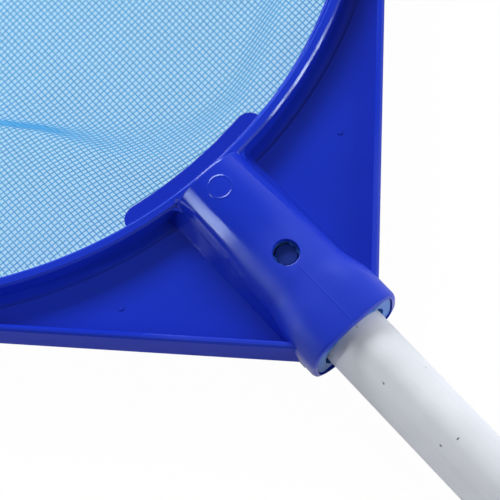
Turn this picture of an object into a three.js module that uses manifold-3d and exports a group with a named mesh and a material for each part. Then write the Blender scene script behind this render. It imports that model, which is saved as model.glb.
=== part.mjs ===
// Leaf skimmer net on a two-stage telescopic pole.
// Millimetres, +Z up. +X runs along the pole, from the net to the hand grip.
// The skimmer lies flat, as it does on the pool's edge: on the scoop lip at its
// front and on the grip at its other end. The origin is under its middle.

import * as THREE from "three";
import { mergeVertices } from "three/addons/utils/BufferGeometryUtils.js";
import Module from "manifold-3d";

const wasm = await Module();
wasm.setup();

// ---- Driving dimensions -------------------------------------------------
// Distances along the pole are measured from the centre of the net ring.

const GAP = 0.3; // between fixed pieces that rest on each other

// Pole
const INNER_TUBE_OD = 25;
const INNER_TUBE_WALL = 1;
const INNER_TUBE_LENGTH = 691;
const OUTER_TUBE_OD = 28.6;
const OUTER_TUBE_WALL = 0.9;
const OUTER_TUBE_LENGTH = 520;
const STOP_GAP = 1; // retracted, between the inner tube's runner and the end cap's plug
const SLIDE_CLEARANCE = 0.2; // radial, round the inner tube's runner and in the lock

// Head: the ring holds the net, the rim runs round the outside of the head
const RING_RADIUS = 176; // inner radius of the ring's round end
const RING_WALL = 4;
const RIM_REACH = 11.3; // from the ring's inner face to the rim's outer face
const RIM_WALL = 2.6;
const RIM_ANGLE = THREE.MathUtils.degToRad(43.8); // of the straight rims to the pole
const RIM_HEIGHT = 17.4;
const RIM_BELOW_POLE = 9.7; // from the pole's axis down to the rim's lower edge
const RING_DROP = 1.9; // ring's top edge below the rim's
const NET_FRONT = 131; // from the ring's centre to the net opening's straight edge
const NET_CORNER = 60; // radius of the opening's two front corners
const WEB_DEPTH = 11.2; // recess of the web below the rim's top
const WEB_THICKNESS = 2.2;
const MOAT_WIDTH = 4.8; // lower channel in the web, round the ring
const MOAT_DEPTH = 0.8;
const EDGE_ROUND = 0.8; // chamfer on the ring's and the rim's top edges
const CORNER_FILLET = 4; // in plan, between the ring's outer face and the socket

// Net seat inside the ring
const LEDGE_REACH = 3.6;
const LEDGE_THICKNESS = 1.8;
const HEM_THICKNESS = 0.8;
const HOOP_WIDTH = 3;
const HOOP_HEIGHT = 3.2;
const TONGUE_WIDTH = 66; // plate on the hoop, across the end of the socket
const TONGUE_REACH = 11.4; // from the ring's inner face towards the net
const TONGUE_THICKNESS = 1.8;
const NET_THICKNESS = 0.9;
const NET_FLOOR_GAP = 0.6; // under the lowest point of the slack net
const NET_RING_SHARES = [[1, 1], [0.86, 0.78], [0.66, 0]]; // rings, as shares of width and of sag
const NET_CELLS = 9; // openings across the net, far fewer than the real mesh has
const NET_CELL_OPEN = 0.72; // the open share of a cell's width
const NET_BORDER = 9; // from the ring to the outermost openings

// Scoop lip along the front edge
const LIP_HALF_WIDTH = 124;
const LIP_REACH = 18; // in front of the rim
const LIP_NOSE = 1.6; // height of its blunt leading edge
const LIP_FOOT = 7; // flat underside that the head rests on
const LIP_END_RADIUS = 14;
const LIP_RIBS = 7;
const LIP_RIB_WIDTH = 2;

// Socket
const SOCKET_LENGTH = 83.3; // from the ring's inner face to the mouth
const SOCKET_NET_HALF = [15.8, 16.2]; // half width and half height at the net end
const SOCKET_BODY_HALF = [17.6, 16.9]; // where the body meets the mouth collar
const SOCKET_MOUTH_HALF = [20.1, 17.6];
const SOCKET_NET_SQUARENESS = 2.4; // 2 is an ellipse, more is boxier
const SOCKET_BODY_SQUARENESS = 2.5;
const SOCKET_MOUTH_SQUARENESS = 2.9;
const SOCKET_NOSE_ROUND = 1.2;
const SOCKET_MOUTH_ROUND = 1.4;
const SOCKET_COLLAR_LENGTH = 12;
const SOCKET_FLARE_LENGTH = 15;
const SOCKET_SKIRT_HALF = 19.5; // half width of the skirt where it meets the web
const SOCKET_SKIRT_SLOPE = 5.7; // the skirt's top edge is this much nearer to the axis
const SOCKET_END_WALL = 4; // behind the ring, in front of the tube
const SOCKET_BORE_CLEARANCE = 0.3;
const POCKET_WALL = 2.2; // shell thickness beside the two pockets in the mouth
const POCKET_DEPTH = 10;
const POCKET_SQUARENESS = 3.6;

// Sleeve in the socket
const SLEEVE_WALL = 1.5;
const SLEEVE_CLEARANCE = 0.3; // round the tube
const SLEEVE_INSET = 0.5; // its outer end lies this far inside the mouth
const SLEEVE_EAR_LENGTH = 8;
const SLEEVE_EAR_HALF_HEIGHT = 10.5;
const SLEEVE_EAR_CLEARANCE = 0.5;
const SLEEVE_RELIEF = 1.1; // wider bore beside the ears, so that they can give
const SLEEVE_RELIEF_DEPTH = 5;
const SLEEVE_RELIEF_HALF_HEIGHT = 8;

// Spring clip in the end of the inner tube
const BUTTON_FROM_MOUTH = 36.1;
const BUTTON_RADIUS = 4.4;
const BUTTON_CLEARANCE = 0.5;
const SOCKET_HOLE_RADIUS = 4.9;
const SOCKET_HOLE_EASE = 0.9; // round of the hole's outer edge
const BUTTON_RECESS = 3; // tip below the top of the socket
const BUTTON_EASE = 0.7;
const BUTTON_FLANGE = 5.2; // radius, wider than the hole that it lies under
const BUTTON_FLANGE_HEIGHT = 0.45;
const CLIP_THICKNESS = 0.9;
const CLIP_WIDTH = 9;
const CLIP_ARM_LENGTH = 50; // from the bend's end to the button
const CLIP_TAIL = 8; // arm beyond the button
const CLIP_CENTRE = 9; // height of each arm above or below the pole's axis
const CLIP_HINGE_GAP = 0.5;
const CLIP_BEND_STRAIGHT = 6; // between the hinge and the round of the bend
const RIVET_RADIUS = 1.8;
const RIVET_HEAD_RADIUS = 2.5;
const RIVET_HEAD_HEIGHT = 0.9;

// Twist lock between the two tubes
const LOCK_NUT_LENGTH = 36;
const LOCK_NUT_OD = 35.6;
const LOCK_NUT_FLUTES = 14;
const LOCK_NUT_FLUTE_RADIUS = 2.2;
const LOCK_NUT_FLUTE_DEPTH = 0.85;
const LOCK_NUT_FLUTE_START = 7; // from the nut's front face
const LOCK_NUT_FLUTE_LENGTH = 26;
const LOCK_NUT_NOSE_LENGTH = 9;
const LOCK_NUT_NOSE_DROP = 2.4;
const LOCK_NUT_EASE = 1;
const LOCK_BODY_LENGTH = 46;
const LOCK_BODY_WALL = 1.7;
const LOCK_SHOULDER = 16; // stretch of the body that stays outside the nut
const LOCK_SHOULDER_OD = 34;
const LOCK_SHOULDER_EASE = 0.5;
const LOCK_TAPER_LENGTH = 6; // at the shoulder's rear end
const LOCK_CLEARANCE = 0.35; // between nut and body
const COLLET_LENGTH = 15;
const COLLET_WALL = 1.5;
const COLLET_NOSE_LENGTH = 5;
const COLLET_NOSE_DROP = 1;
const COLLET_SLOTS = 6;
const COLLET_SLOT_WIDTH = 1.6;
const COLLET_ROOT = 4; // length that the slots leave uncut

const SCREW_RADIUS = 1.2;
const SCREW_HEAD_RADIUS = 2.4;
const SCREW_HEAD_HEIGHT = 1.3;
const SCREW_HEAD_EASE = 0.5;
const SCREW_SINK = 0.2; // head below the shoulder's surface

// Runner at the rear end of the inner tube
const RUNNER_LENGTH = 24;
const RUNNER_COLLAR = 6;
const RUNNER_WALL = 2;
const RUNNER_EASE = 0.6;
const RUNNER_PIN_RADIUS = 1.5;
const RUNNER_PIN_INSET = 9; // from the tube's end

// Grip and end cap on the outer tube
const GRIP_OD = 37;
const GRIP_LENGTH = 128;
const GRIP_BORE_CLEARANCE = 0.3;
const GRIP_RINGS = 9;
const GRIP_GROOVE_DEPTH = 1.2;
const GRIP_PLAIN_END = 16; // without grooves, at each end
const GRIP_NOSE_LENGTH = 7;
const GRIP_NOSE_DROP = 2.2;
const GRIP_EASE = 1.5;
const CAP_FLANGE = 5;
const CAP_FLANGE_DROP = 1; // flange below the grip's surface
const CAP_EASE = 2.4;
const CAP_PLUG_LENGTH = 22;
const CAP_PLUG_EASE = 1.2;
const CAP_TAB_LENGTH = 22;
const CAP_TAB_WIDTH = 20;
const CAP_TAB_ROOT = 24; // its width where it leaves the flange
const CAP_TAB_THICKNESS = 5;
const CAP_HOLE_RADIUS = 5;
const END_PLUG_START = 2; // inside the tube's front end
const END_PLUG_END = 10;

// Facets
const RING_STEPS = 40; // round the half ring
const NET_STEPS = 24; // round the same half, on the net and its hem
const CORNER_STEPS = 8;
const SOCKET_SIDES = 52;
const ROUND_SIDES = 28;
const SMALL_SIDES = 16;
const GRIP_SIDES = 20;
const FLUTE_SIDES = 8;
const FLARE_STEPS = 4;
const FILLET_STEPS = 5;

// ---- Places worked out from them ----------------------------------------

const poleHeight = GRIP_OD / 2; // the grip lies on the ground
const tubeRadius = INNER_TUBE_OD / 2;
const tubeBore = tubeRadius - INNER_TUBE_WALL;
const outerRadius = OUTER_TUBE_OD / 2;
const outerBore = outerRadius - OUTER_TUBE_WALL;

const rimBottom = poleHeight - RIM_BELOW_POLE;
const rimTop = rimBottom + RIM_HEIGHT;
const ringTop = rimTop - RING_DROP;
const webTop = rimTop - WEB_DEPTH;
const ledgeTop = rimBottom + LEDGE_THICKNESS;
const hemBottom = ledgeTop + GAP;
const hoopBottom = hemBottom + HEM_THICKNESS + GAP;

const ringOuter = RING_RADIUS + RING_WALL;
const rimOffset = RING_RADIUS + RIM_REACH;
const headFront = NET_FRONT + RIM_REACH;
const lipFront = headFront + LIP_REACH;
const tangentAngle = Math.PI / 2 - RIM_ANGLE;

const mouth = RING_RADIUS + SOCKET_LENGTH;
const buttonAt = mouth - BUTTON_FROM_MOUTH;
const tubeStart = ringOuter + SOCKET_END_WALL + GAP;
const tubeEnd = tubeStart + INNER_TUBE_LENGTH;
const clipHinge = buttonAt + CLIP_ARM_LENGTH;

const runnerEnd = tubeEnd + GAP + RUNNER_COLLAR;
const capStart = runnerEnd + STOP_GAP + CAP_PLUG_LENGTH;
const outerTubeEnd = capStart - GAP;
const outerTubeStart = outerTubeEnd - OUTER_TUBE_LENGTH;
const lockBodyStart = outerTubeStart - GAP - COLLET_LENGTH;
const lockStart = lockBodyStart + LOCK_BODY_LENGTH - LOCK_SHOULDER - LOCK_NUT_LENGTH;
const poleEnd = capStart + CAP_FLANGE + CAP_TAB_LENGTH;
const lockScrewAt = lockBodyStart + LOCK_BODY_LENGTH - (LOCK_SHOULDER + LOCK_CLEARANCE) / 2;

// ---- Solids -------------------------------------------------------------

// A closed three.js geometry as a solid, its faces turned to point out.
function solid(geometry) {
  const bare = new THREE.BufferGeometry();
  bare.setAttribute("position", geometry.getAttribute("position"));
  bare.setIndex(geometry.index);
  const merged = mergeVertices(bare, 1e-4);
  const corners = merged.index.array;
  const triangles = [];
  for (let i = 0; i < corners.length; i += 3) {
    const [a, b, c] = [corners[i], corners[i + 1], corners[i + 2]];
    if (a !== b && b !== c && c !== a) triangles.push([a, b, c]);
  }
  const build = (list) =>
    new wasm.Manifold(
      new wasm.Mesh({
        numProp: 3,
        vertProperties: merged.attributes.position.array,
        triVerts: new Uint32Array(list.flat()),
      }),
    );
  const made = build(triangles);
  return made.volume() > 0 ? made : build(triangles.map(([a, b, c]) => [a, c, b]));
}

function geometryOf(made) {
  const mesh = made.getMesh();
  const geometry = new THREE.BufferGeometry();
  geometry.setAttribute("position", new THREE.BufferAttribute(mesh.vertProperties, 3));
  geometry.setIndex(new THREE.BufferAttribute(mesh.triVerts, 1));
  const flat = geometry.toNonIndexed();
  flat.computeVertexNormals();
  return flat;
}

const union = (solids) => solids.reduce((all, next) => all.add(next));

// An outline in plan, raised from one height to another.
function prism(outline, bottom, top) {
  const geometry = new THREE.ExtrudeGeometry(new THREE.Shape(outline), {
    depth: top - bottom,
    bevelEnabled: false,
  });
  return solid(geometry.translate(0, 0, bottom));
}

// An outline in the X-Z plane, drawn out along Y from one side to the other.
function slab(outline, left, right) {
  const geometry = new THREE.ExtrudeGeometry(new THREE.Shape(outline), {
    depth: right - left,
    bevelEnabled: false,
  });
  geometry.rotateX(Math.PI / 2);
  return solid(geometry.translate(0, right, 0));
}

function block(low, high) {
  const geometry = new THREE.BoxGeometry(...high.map((value, i) => value - low[i]));
  const centre = high.map((value, i) => (value + low[i]) / 2);
  return solid(geometry.translate(...centre));
}

// A profile of [distance along the pole, radius], turned round the pole's axis.
function turned(profile, sides = ROUND_SIDES) {
  const points = profile.map(([along, radius]) => new THREE.Vector2(radius, along));
  const geometry = new THREE.LatheGeometry(points, sides);
  geometry.rotateZ(-Math.PI / 2);
  return solid(geometry.translate(0, 0, poleHeight));
}

function rod(start, end, radius, sides = ROUND_SIDES) {
  return turned([[start, 0], [start, radius], [end, radius], [end, 0]], sides);
}

function pipe(start, end, bore, radius, sides = ROUND_SIDES) {
  return turned(
    [[start, bore], [start, radius], [end, radius], [end, bore], [start, bore]],
    sides,
  );
}

// Profile points that round the edge of an end face, which looks up or down the pole.
function roundedEnd(end, radius, ease, facing) {
  const middle = ease * (1 - Math.SQRT1_2);
  const points = [
    [end - facing * ease, radius],
    [end - facing * middle, radius - middle],
    [end, radius - ease],
  ];
  return facing > 0 ? points : points.reverse();
}

// An upright pin through the pole's axis, from one height over the axis to another.
function uprightPin(at, radius, bottom, top) {
  const geometry = new THREE.CylinderGeometry(radius, radius, top - bottom, SMALL_SIDES);
  geometry.rotateX(Math.PI / 2);
  return solid(geometry.translate(at, 0, poleHeight + (top + bottom) / 2));
}

// A skin over rings of points, closed by a fan at each end.
function loft(rings) {
  const count = rings[0].length;
  const points = rings.flat();
  const faces = [];
  for (let k = 0; k + 1 < rings.length; k++) {
    for (let i = 0; i < count; i++) {
      const j = (i + 1) % count;
      const [a, b] = [k * count + i, k * count + j];
      faces.push(a, b, a + count, b, b + count, a + count);
    }
  }
  const ends = [rings[0], rings[rings.length - 1]];
  ends.forEach((ring, end) => {
    const middle = new THREE.Vector3();
    ring.forEach((point) => middle.addScaledVector(point, 1 / count));
    const hub = points.push(middle) - 1;
    const first = end ? (rings.length - 1) * count : 0;
    for (let i = 0; i < count; i++) {
      const rimPair = [first + i, first + ((i + 1) % count)];
      faces.push(hub, ...(end ? rimPair : rimPair.reverse()));
    }
  });
  const geometry = new THREE.BufferGeometry().setFromPoints(points);
  return solid(geometry.setIndex(faces));
}

// A rounded section across the pole.
function sectionAt(along, [halfWidth, halfHeight], squareness, grow = 0) {
  return Array.from({ length: SOCKET_SIDES }, (_, i) => {
    const angle = (2 * Math.PI * i) / SOCKET_SIDES;
    const power = (value) => Math.sign(value) * Math.abs(value) ** (2 / squareness);
    return new THREE.Vector3(
      along,
      (halfWidth + grow) * power(Math.cos(angle)),
      poleHeight + (halfHeight + grow) * power(Math.sin(angle)),
    );
  });
}

// ---- Outlines in plan ---------------------------------------------------

function arc(x, y, radius, from, to, steps) {
  return Array.from({ length: steps + 1 }, (_, i) => {
    const angle = from + ((to - from) * i) / steps;
    return new THREE.Vector2(x + radius * Math.cos(angle), y + radius * Math.sin(angle));
  });
}

// The two front corners and the front edge, on a head whose half width is given.
function frontCorners(halfWidth) {
  const grown = halfWidth - RING_RADIUS;
  const corner = NET_CORNER + grown;
  const x = -(NET_FRONT + grown) + corner;
  const y = halfWidth - corner;
  return [
    ...arc(x, y, corner, Math.PI / 2, Math.PI, CORNER_STEPS),
    ...arc(x, -y, corner, Math.PI, 1.5 * Math.PI, CORNER_STEPS),
  ];
}

// The net opening's outline, which the ring follows.
function ringOutline(radius, steps = RING_STEPS) {
  return [
    ...arc(0, 0, radius, -Math.PI / 2, Math.PI / 2, steps),
    ...frontCorners(radius),
  ];
}

// The head's outline: as the ring's, with two straight rims that meet at the socket.
function rimOutline(offset) {
  const steps = Math.round((RING_STEPS * RIM_ANGLE) / Math.PI);
  const apex = new THREE.Vector2(offset / Math.sin(RIM_ANGLE), 0);
  return [
    ...arc(0, 0, offset, -Math.PI / 2, -tangentAngle, steps),
    apex,
    ...arc(0, 0, offset, tangentAngle, Math.PI / 2, steps),
    ...frontCorners(offset),
  ];
}

// A section of [offset, height] points, carried round an outline.
function band(outlineAt, section) {
  const loops = section.map(([offset, height]) =>
    outlineAt(offset).map((point) => new THREE.Vector3(point.x, point.y, height)),
  );
  const count = loops[0].length;
  const faces = [];
  loops.forEach((_, k) => {
    const next = (k + 1) % loops.length;
    for (let i = 0; i < count; i++) {
      const j = (i + 1) % count;
      const [a, b, c, d] = [k * count + i, k * count + j, next * count + i, next * count + j];
      faces.push(a, b, c, b, d, c);
    }
  });
  const geometry = new THREE.BufferGeometry().setFromPoints(loops.flat());
  return solid(geometry.setIndex(faces));
}

// A wall with both edges of its top eased.
function easedWall(outlineAt, inner, outer, bottom, top, ease = EDGE_ROUND) {
  return band(outlineAt, [
    [inner, bottom],
    [outer, bottom],
    [outer, top - ease],
    [outer - ease, top],
    [inner + ease, top],
    [inner, top - ease],
  ]);
}

// A flat strip between two outlines.
function strip(outlineAt, inner, outer, bottom, top) {
  return band(outlineAt, [
    [inner, bottom],
    [outer, bottom],
    [outer, top],
    [inner, top],
  ]);
}

// ---- Head ---------------------------------------------------------------

// Bends a section of the socket so that it follows the ring's outer face.
function alongRing(section) {
  return section.map((point) => {
    const bow = ringOuter - Math.sqrt(ringOuter ** 2 - point.y ** 2);
    return new THREE.Vector3(point.x - bow, point.y, point.z);
  });
}

function socketOuter() {
  const start = ringOuter - EDGE_ROUND / 2;
  const collarStart = mouth - SOCKET_COLLAR_LENGTH;
  const flareStart = collarStart - SOCKET_FLARE_LENGTH;
  const mix = (from, to, share) => from + (to - from) * share;
  const flare = Array.from({ length: FLARE_STEPS + 1 }, (_, i) => {
    const step = i / FLARE_STEPS;
    const share = step * step * (3 - 2 * step);
    return sectionAt(
      mix(flareStart, collarStart, step),
      SOCKET_BODY_HALF.map((half, k) => mix(half, SOCKET_MOUTH_HALF[k], share)),
      mix(SOCKET_BODY_SQUARENESS, SOCKET_MOUTH_SQUARENESS, share),
    );
  });
  const nose = roundedEnd(start, 0, SOCKET_NOSE_ROUND, -1).map(([along, grow]) =>
    alongRing(sectionAt(along, SOCKET_NET_HALF, SOCKET_NET_SQUARENESS, grow)),
  );
  const lip = roundedEnd(mouth, 0, SOCKET_MOUTH_ROUND, 1).map(([along, grow]) =>
    sectionAt(along, SOCKET_MOUTH_HALF, SOCKET_MOUTH_SQUARENESS, grow),
  );
  return loft([...nose, ...flare, ...lip]);
}

// The skirt spreads the socket's sides onto the web, on both faces of the head.
function socketSkirt() {
  const end = mouth - SOCKET_COLLAR_LENGTH / 2;
  const skirtTop = poleHeight + SOCKET_NET_HALF[1] / 2;
  const crest = SOCKET_SKIRT_HALF - SOCKET_SKIRT_SLOPE;
  const ring = (along) =>
    [
      [SOCKET_SKIRT_HALF, rimBottom],
      [SOCKET_SKIRT_HALF, webTop],
      [crest, skirtTop],
      [-crest, skirtTop],
      [-SOCKET_SKIRT_HALF, webTop],
      [-SOCKET_SKIRT_HALF, rimBottom],
    ].map(([y, z]) => new THREE.Vector3(along, y, z));
  return loft([ring(ringOuter - RING_WALL / 2), ring(end)]);
}

// Fills one of the two corners between the ring's outer face and the socket's sides.
function cornerFillet(side) {
  const reach = SOCKET_NET_HALF[0] + CORNER_FILLET;
  const x = Math.sqrt((ringOuter + CORNER_FILLET) ** 2 - reach ** 2);
  const toRing = Math.atan2(-reach, -x);
  const outline = [
    ...arc(x, reach, CORNER_FILLET, toRing, -Math.PI / 2, FILLET_STEPS),
    new THREE.Vector2(ringOuter - RING_WALL / 2, 0),
  ].map((point) => new THREE.Vector2(point.x, side * point.y));
  return prism(outline, rimBottom, ringTop - EDGE_ROUND);
}

const sleeveBore = tubeRadius + SLEEVE_CLEARANCE;
const sleeveRadius = sleeveBore + SLEEVE_WALL;
const socketBore = sleeveRadius + SOCKET_BORE_CLEARANCE;
const pocketHalf = [SOCKET_MOUTH_HALF[0] - POCKET_WALL, socketBore];

function scoopLip() {
  const wall = -(headFront - RIM_WALL / 2);
  const foot = -lipFront + LIP_FOOT;
  const slope = (rimTop - LIP_NOSE) / LIP_REACH;
  const blade = slab(
    [
      new THREE.Vector2(wall, rimTop - EDGE_ROUND),
      new THREE.Vector2(-headFront, rimTop - EDGE_ROUND),
      new THREE.Vector2(-lipFront, LIP_NOSE),
      new THREE.Vector2(-lipFront, 0),
      new THREE.Vector2(foot, 0),
      new THREE.Vector2(wall, (wall - foot) * slope),
    ],
    -LIP_HALF_WIDTH,
    LIP_HALF_WIDTH,
  );
  const ribOutline = [
    new THREE.Vector2(wall, rimBottom),
    new THREE.Vector2(wall, rimTop - LIP_FOOT),
    new THREE.Vector2(-headFront, rimTop - LIP_FOOT),
    new THREE.Vector2(foot - LIP_NOSE, LIP_NOSE),
    new THREE.Vector2(foot, LIP_NOSE / 2),
  ];
  const pitch = (2 * (LIP_HALF_WIDTH - LIP_END_RADIUS)) / (LIP_RIBS - 1);
  const ribs = Array.from({ length: LIP_RIBS }, (_, i) => {
    const y = (i - (LIP_RIBS - 1) / 2) * pitch;
    return slab(ribOutline, y - LIP_RIB_WIDTH / 2, y + LIP_RIB_WIDTH / 2);
  });
  const y = LIP_HALF_WIDTH - LIP_END_RADIUS;
  const x = -lipFront + LIP_END_RADIUS;
  const plan = [
    new THREE.Vector2(wall, LIP_HALF_WIDTH),
    ...arc(x, y, LIP_END_RADIUS, Math.PI / 2, Math.PI, CORNER_STEPS),
    ...arc(x, -y, LIP_END_RADIUS, Math.PI, 1.5 * Math.PI, CORNER_STEPS),
    new THREE.Vector2(wall, -LIP_HALF_WIDTH),
  ];
  return union([blade, ...ribs]).intersect(prism(plan, -1, rimTop + 1));
}

// The hole over a button, with its outer edge rounded.
function buttonHole(side) {
  const top = SOCKET_BODY_HALF[1];
  const radius = SOCKET_HOLE_RADIUS;
  const middle = SOCKET_HOLE_EASE * (1 - Math.SQRT1_2);
  const profile = [
    [0, 0],
    [0, radius],
    [top - SOCKET_HOLE_EASE, radius],
    [top - middle, radius + middle],
    [top, radius + SOCKET_HOLE_EASE],
    [poleHeight, radius + SOCKET_HOLE_EASE],
    [poleHeight, 0],
  ];
  return uprightTurned(buttonAt, profile, side);
}

function headFrame() {
  const webBottom = webTop - WEB_THICKNESS;
  const insideRim = rimOutline(rimOffset - RIM_WALL);
  const moat = prism(ringOutline(ringOuter + MOAT_WIDTH), webTop - MOAT_DEPTH, rimTop)
    .subtract(prism(ringOutline(ringOuter - RING_WALL / 2), webBottom, rimTop + GAP))
    .intersect(prism(insideRim, webBottom, rimTop));
  const web = prism(rimOutline(rimOffset - RIM_WALL / 2), webBottom, webTop)
    .subtract(prism(ringOutline(ringOuter - RING_WALL / 2), rimBottom, rimTop))
    .subtract(moat);
  const rim = easedWall(rimOutline, rimOffset - RIM_WALL, rimOffset, rimBottom, rimTop);
  const ring = easedWall(ringOutline, RING_RADIUS, ringOuter, rimBottom, ringTop);
  const ledgeInner = RING_RADIUS - LEDGE_REACH;
  const ledgeOuter = ringOuter - RING_WALL / 2;
  const ledge = strip(ringOutline, ledgeInner, ledgeOuter, rimBottom, ledgeTop);
  const pastSocket = block(
    [mouth - SOCKET_COLLAR_LENGTH / 2, -RING_RADIUS, 0],
    [mouth * 2, RING_RADIUS, rimTop + poleHeight],
  );
  const plate = union([web, rim, ring, ledge]).subtract(pastSocket);
  const pocket = loft([
    sectionAt(mouth - POCKET_DEPTH, pocketHalf, POCKET_SQUARENESS),
    sectionAt(mouth + GAP, pocketHalf, POCKET_SQUARENESS),
  ]);
  const bore = rod(tubeStart - GAP, mouth + GAP, socketBore);
  const buttonHoles = union([1, -1].map(buttonHole));
  const corners = [1, -1].map(cornerFillet);
  return union([plate, socketOuter(), socketSkirt(), ...corners, scoopLip()])
    .subtract(bore)
    .subtract(pocket)
    .subtract(buttonHoles);
}

// The hoop lies on the net's edge. Its tongue crosses the net in front of the socket.
function netHoop() {
  const outer = RING_RADIUS - GAP;
  const hoopTop = hoopBottom + HOOP_HEIGHT;
  const hoop = easedWall(ringOutline, outer - HOOP_WIDTH, outer, hoopBottom, hoopTop);
  const start = RING_RADIUS - TONGUE_REACH;
  const round = TONGUE_REACH / 2;
  const y = TONGUE_WIDTH / 2 - round;
  const tongue = prism(
    [
      new THREE.Vector2(RING_RADIUS, y + round),
      ...arc(start + round, y, round, Math.PI / 2, Math.PI, CORNER_STEPS / 2),
      ...arc(start + round, -y, round, Math.PI, 1.5 * Math.PI, CORNER_STEPS / 2),
      new THREE.Vector2(RING_RADIUS, -y - round),
    ],
    hoopBottom,
    hoopBottom + TONGUE_THICKNESS,
  ).intersect(prism(ringOutline(outer - HOOP_WIDTH / 2), 0, rimTop));
  return hoop.add(tongue);
}

// Flat hem tape sewn round the net's edge, held between ledge and hoop.
function netHem() {
  const outer = RING_RADIUS - GAP;
  const outline = (radius) => ringOutline(radius, NET_STEPS);
  return strip(outline, outer - HOOP_WIDTH, outer, hemBottom, hemBottom + HEM_THICKNESS);
}

// Square openings over the net. Those at its border follow the ring, and none is a sliver.
function netOpenings(centre) {
  const reach = RING_RADIUS - NET_BORDER;
  const field = prism(ringOutline(reach, NET_STEPS), 0, rimTop);
  const pitch = (2 * reach) / NET_CELLS;
  const half = (pitch * NET_CELL_OPEN) / 2;
  const full = (2 * half) ** 2 * rimTop;
  const rows = Math.round((reach - NET_BORDER + NET_FRONT) / pitch);
  const openings = [];
  for (let row = 0; row < rows; row++) {
    for (let cell = 0; cell < NET_CELLS; cell++) {
      const x = centre + (row - (rows - 1) / 2) * pitch;
      const y = (cell - (NET_CELLS - 1) / 2) * pitch;
      const square = block([x - half, y - half, 0], [x + half, y + half, rimTop]);
      const opening = square.intersect(field);
      if (opening.volume() > full / 2) openings.push(opening);
    }
  }
  return union(openings);
}

// The slack net as one thin open dish, hanging inside the hem.
function meshNet() {
  const edge = ringOutline(RING_RADIUS - GAP - HOOP_WIDTH - GAP, NET_STEPS);
  const centre = new THREE.Vector2((RING_RADIUS - NET_FRONT) / 2, 0);
  const sag = hemBottom - NET_FLOOR_GAP;
  const ringsAt = (base) =>
    NET_RING_SHARES.map(([width, height]) =>
      edge.map(
        (point) =>
          new THREE.Vector3(
            centre.x + (point.x - centre.x) * width,
            point.y * width,
            base + sag * height,
          ),
      ),
    );
  const top = ringsAt(NET_FLOOR_GAP + NET_THICKNESS).reverse();
  const bottom = ringsAt(NET_FLOOR_GAP);
  return loft([...top, ...bottom]).subtract(netOpenings(centre.x));
}

// A band across the mouth that reaches a given height above and below the axis.
const besideAxis = (halfHeight) =>
  block(
    [tubeStart, -SOCKET_MOUTH_HALF[0], poleHeight - halfHeight],
    [mouth, SOCKET_MOUTH_HALF[0], poleHeight + halfHeight],
  );

// The sleeve fills the socket round the tube. Its two ears lie in the mouth's pockets.
function socketSleeve() {
  const end = mouth - SLEEVE_INSET;
  const tube = pipe(tubeStart + GAP, end, sleeveBore, sleeveRadius);
  const earHalf = pocketHalf.map((half) => half - SLEEVE_EAR_CLEARANCE);
  const ears = loft([
    sectionAt(end - SLEEVE_EAR_LENGTH, earHalf, POCKET_SQUARENESS),
    sectionAt(end, earHalf, POCKET_SQUARENESS),
  ])
    .intersect(besideAxis(SLEEVE_EAR_HALF_HEIGHT))
    .subtract(rod(tubeStart, mouth, sleeveBore));
  const relief = rod(end - SLEEVE_RELIEF_DEPTH, mouth, sleeveBore + SLEEVE_RELIEF).intersect(
    besideAxis(SLEEVE_RELIEF_HALF_HEIGHT),
  );
  const holeRadius = BUTTON_RADIUS + BUTTON_CLEARANCE;
  return tube
    .add(ears)
    .subtract(relief)
    .subtract(uprightPin(buttonAt, holeRadius, -poleHeight, poleHeight));
}

// ---- Pole ---------------------------------------------------------------

function innerTube() {
  const holeRadius = BUTTON_RADIUS + BUTTON_CLEARANCE;
  const pinAt = tubeEnd - RUNNER_PIN_INSET;
  return pipe(tubeStart, tubeEnd, tubeBore, tubeRadius)
    .subtract(uprightPin(buttonAt, holeRadius, -poleHeight, poleHeight))
    .subtract(uprightPin(pinAt, RUNNER_PIN_RADIUS + GAP, -poleHeight, poleHeight));
}

// Plug that keeps water out of the inner tube's front end.
function tubePlug() {
  return rod(tubeStart + END_PLUG_START, tubeStart + END_PLUG_END, tubeBore - GAP);
}

// One half of the hairpin spring is the mirror of the other.
const sideHeight = (side, height) => poleHeight + side * height;

function clipBend() {
  const outer = CLIP_CENTRE + CLIP_THICKNESS / 2;
  const inner = CLIP_CENTRE - CLIP_THICKNESS / 2;
  const start = clipHinge + CLIP_HINGE_GAP;
  const round = start + CLIP_BEND_STRAIGHT;
  const outline = [
    new THREE.Vector2(start, poleHeight - outer),
    ...arc(round, poleHeight, outer, -Math.PI / 2, Math.PI / 2, CORNER_STEPS),
    new THREE.Vector2(start, poleHeight + outer),
    new THREE.Vector2(start, poleHeight + inner),
    ...arc(round, poleHeight, inner, Math.PI / 2, -Math.PI / 2, CORNER_STEPS),
    new THREE.Vector2(start, poleHeight - inner),
  ];
  return slab(outline, -CLIP_WIDTH / 2, CLIP_WIDTH / 2);
}

function clipArm(side) {
  const heights = [-1, 1].map((edge) =>
    sideHeight(side, CLIP_CENTRE + (edge * CLIP_THICKNESS) / 2),
  );
  const start = buttonAt - CLIP_TAIL;
  const leaf = block(
    [start, -CLIP_WIDTH / 2, Math.min(...heights)],
    [clipHinge, CLIP_WIDTH / 2, Math.max(...heights)],
  );
  const hole = uprightPin(buttonAt, RIVET_RADIUS + GAP, -poleHeight, poleHeight);
  return leaf.subtract(hole);
}

// A profile of [height above the pole's axis, radius], turned round an upright axis.
function uprightTurned(at, profile, side = 1) {
  const points = profile.map(([height, radius]) => new THREE.Vector2(radius, height));
  const geometry = new THREE.LatheGeometry(points, SMALL_SIDES);
  geometry.rotateX((side * Math.PI) / 2);
  return solid(geometry.translate(at, 0, poleHeight));
}

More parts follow.
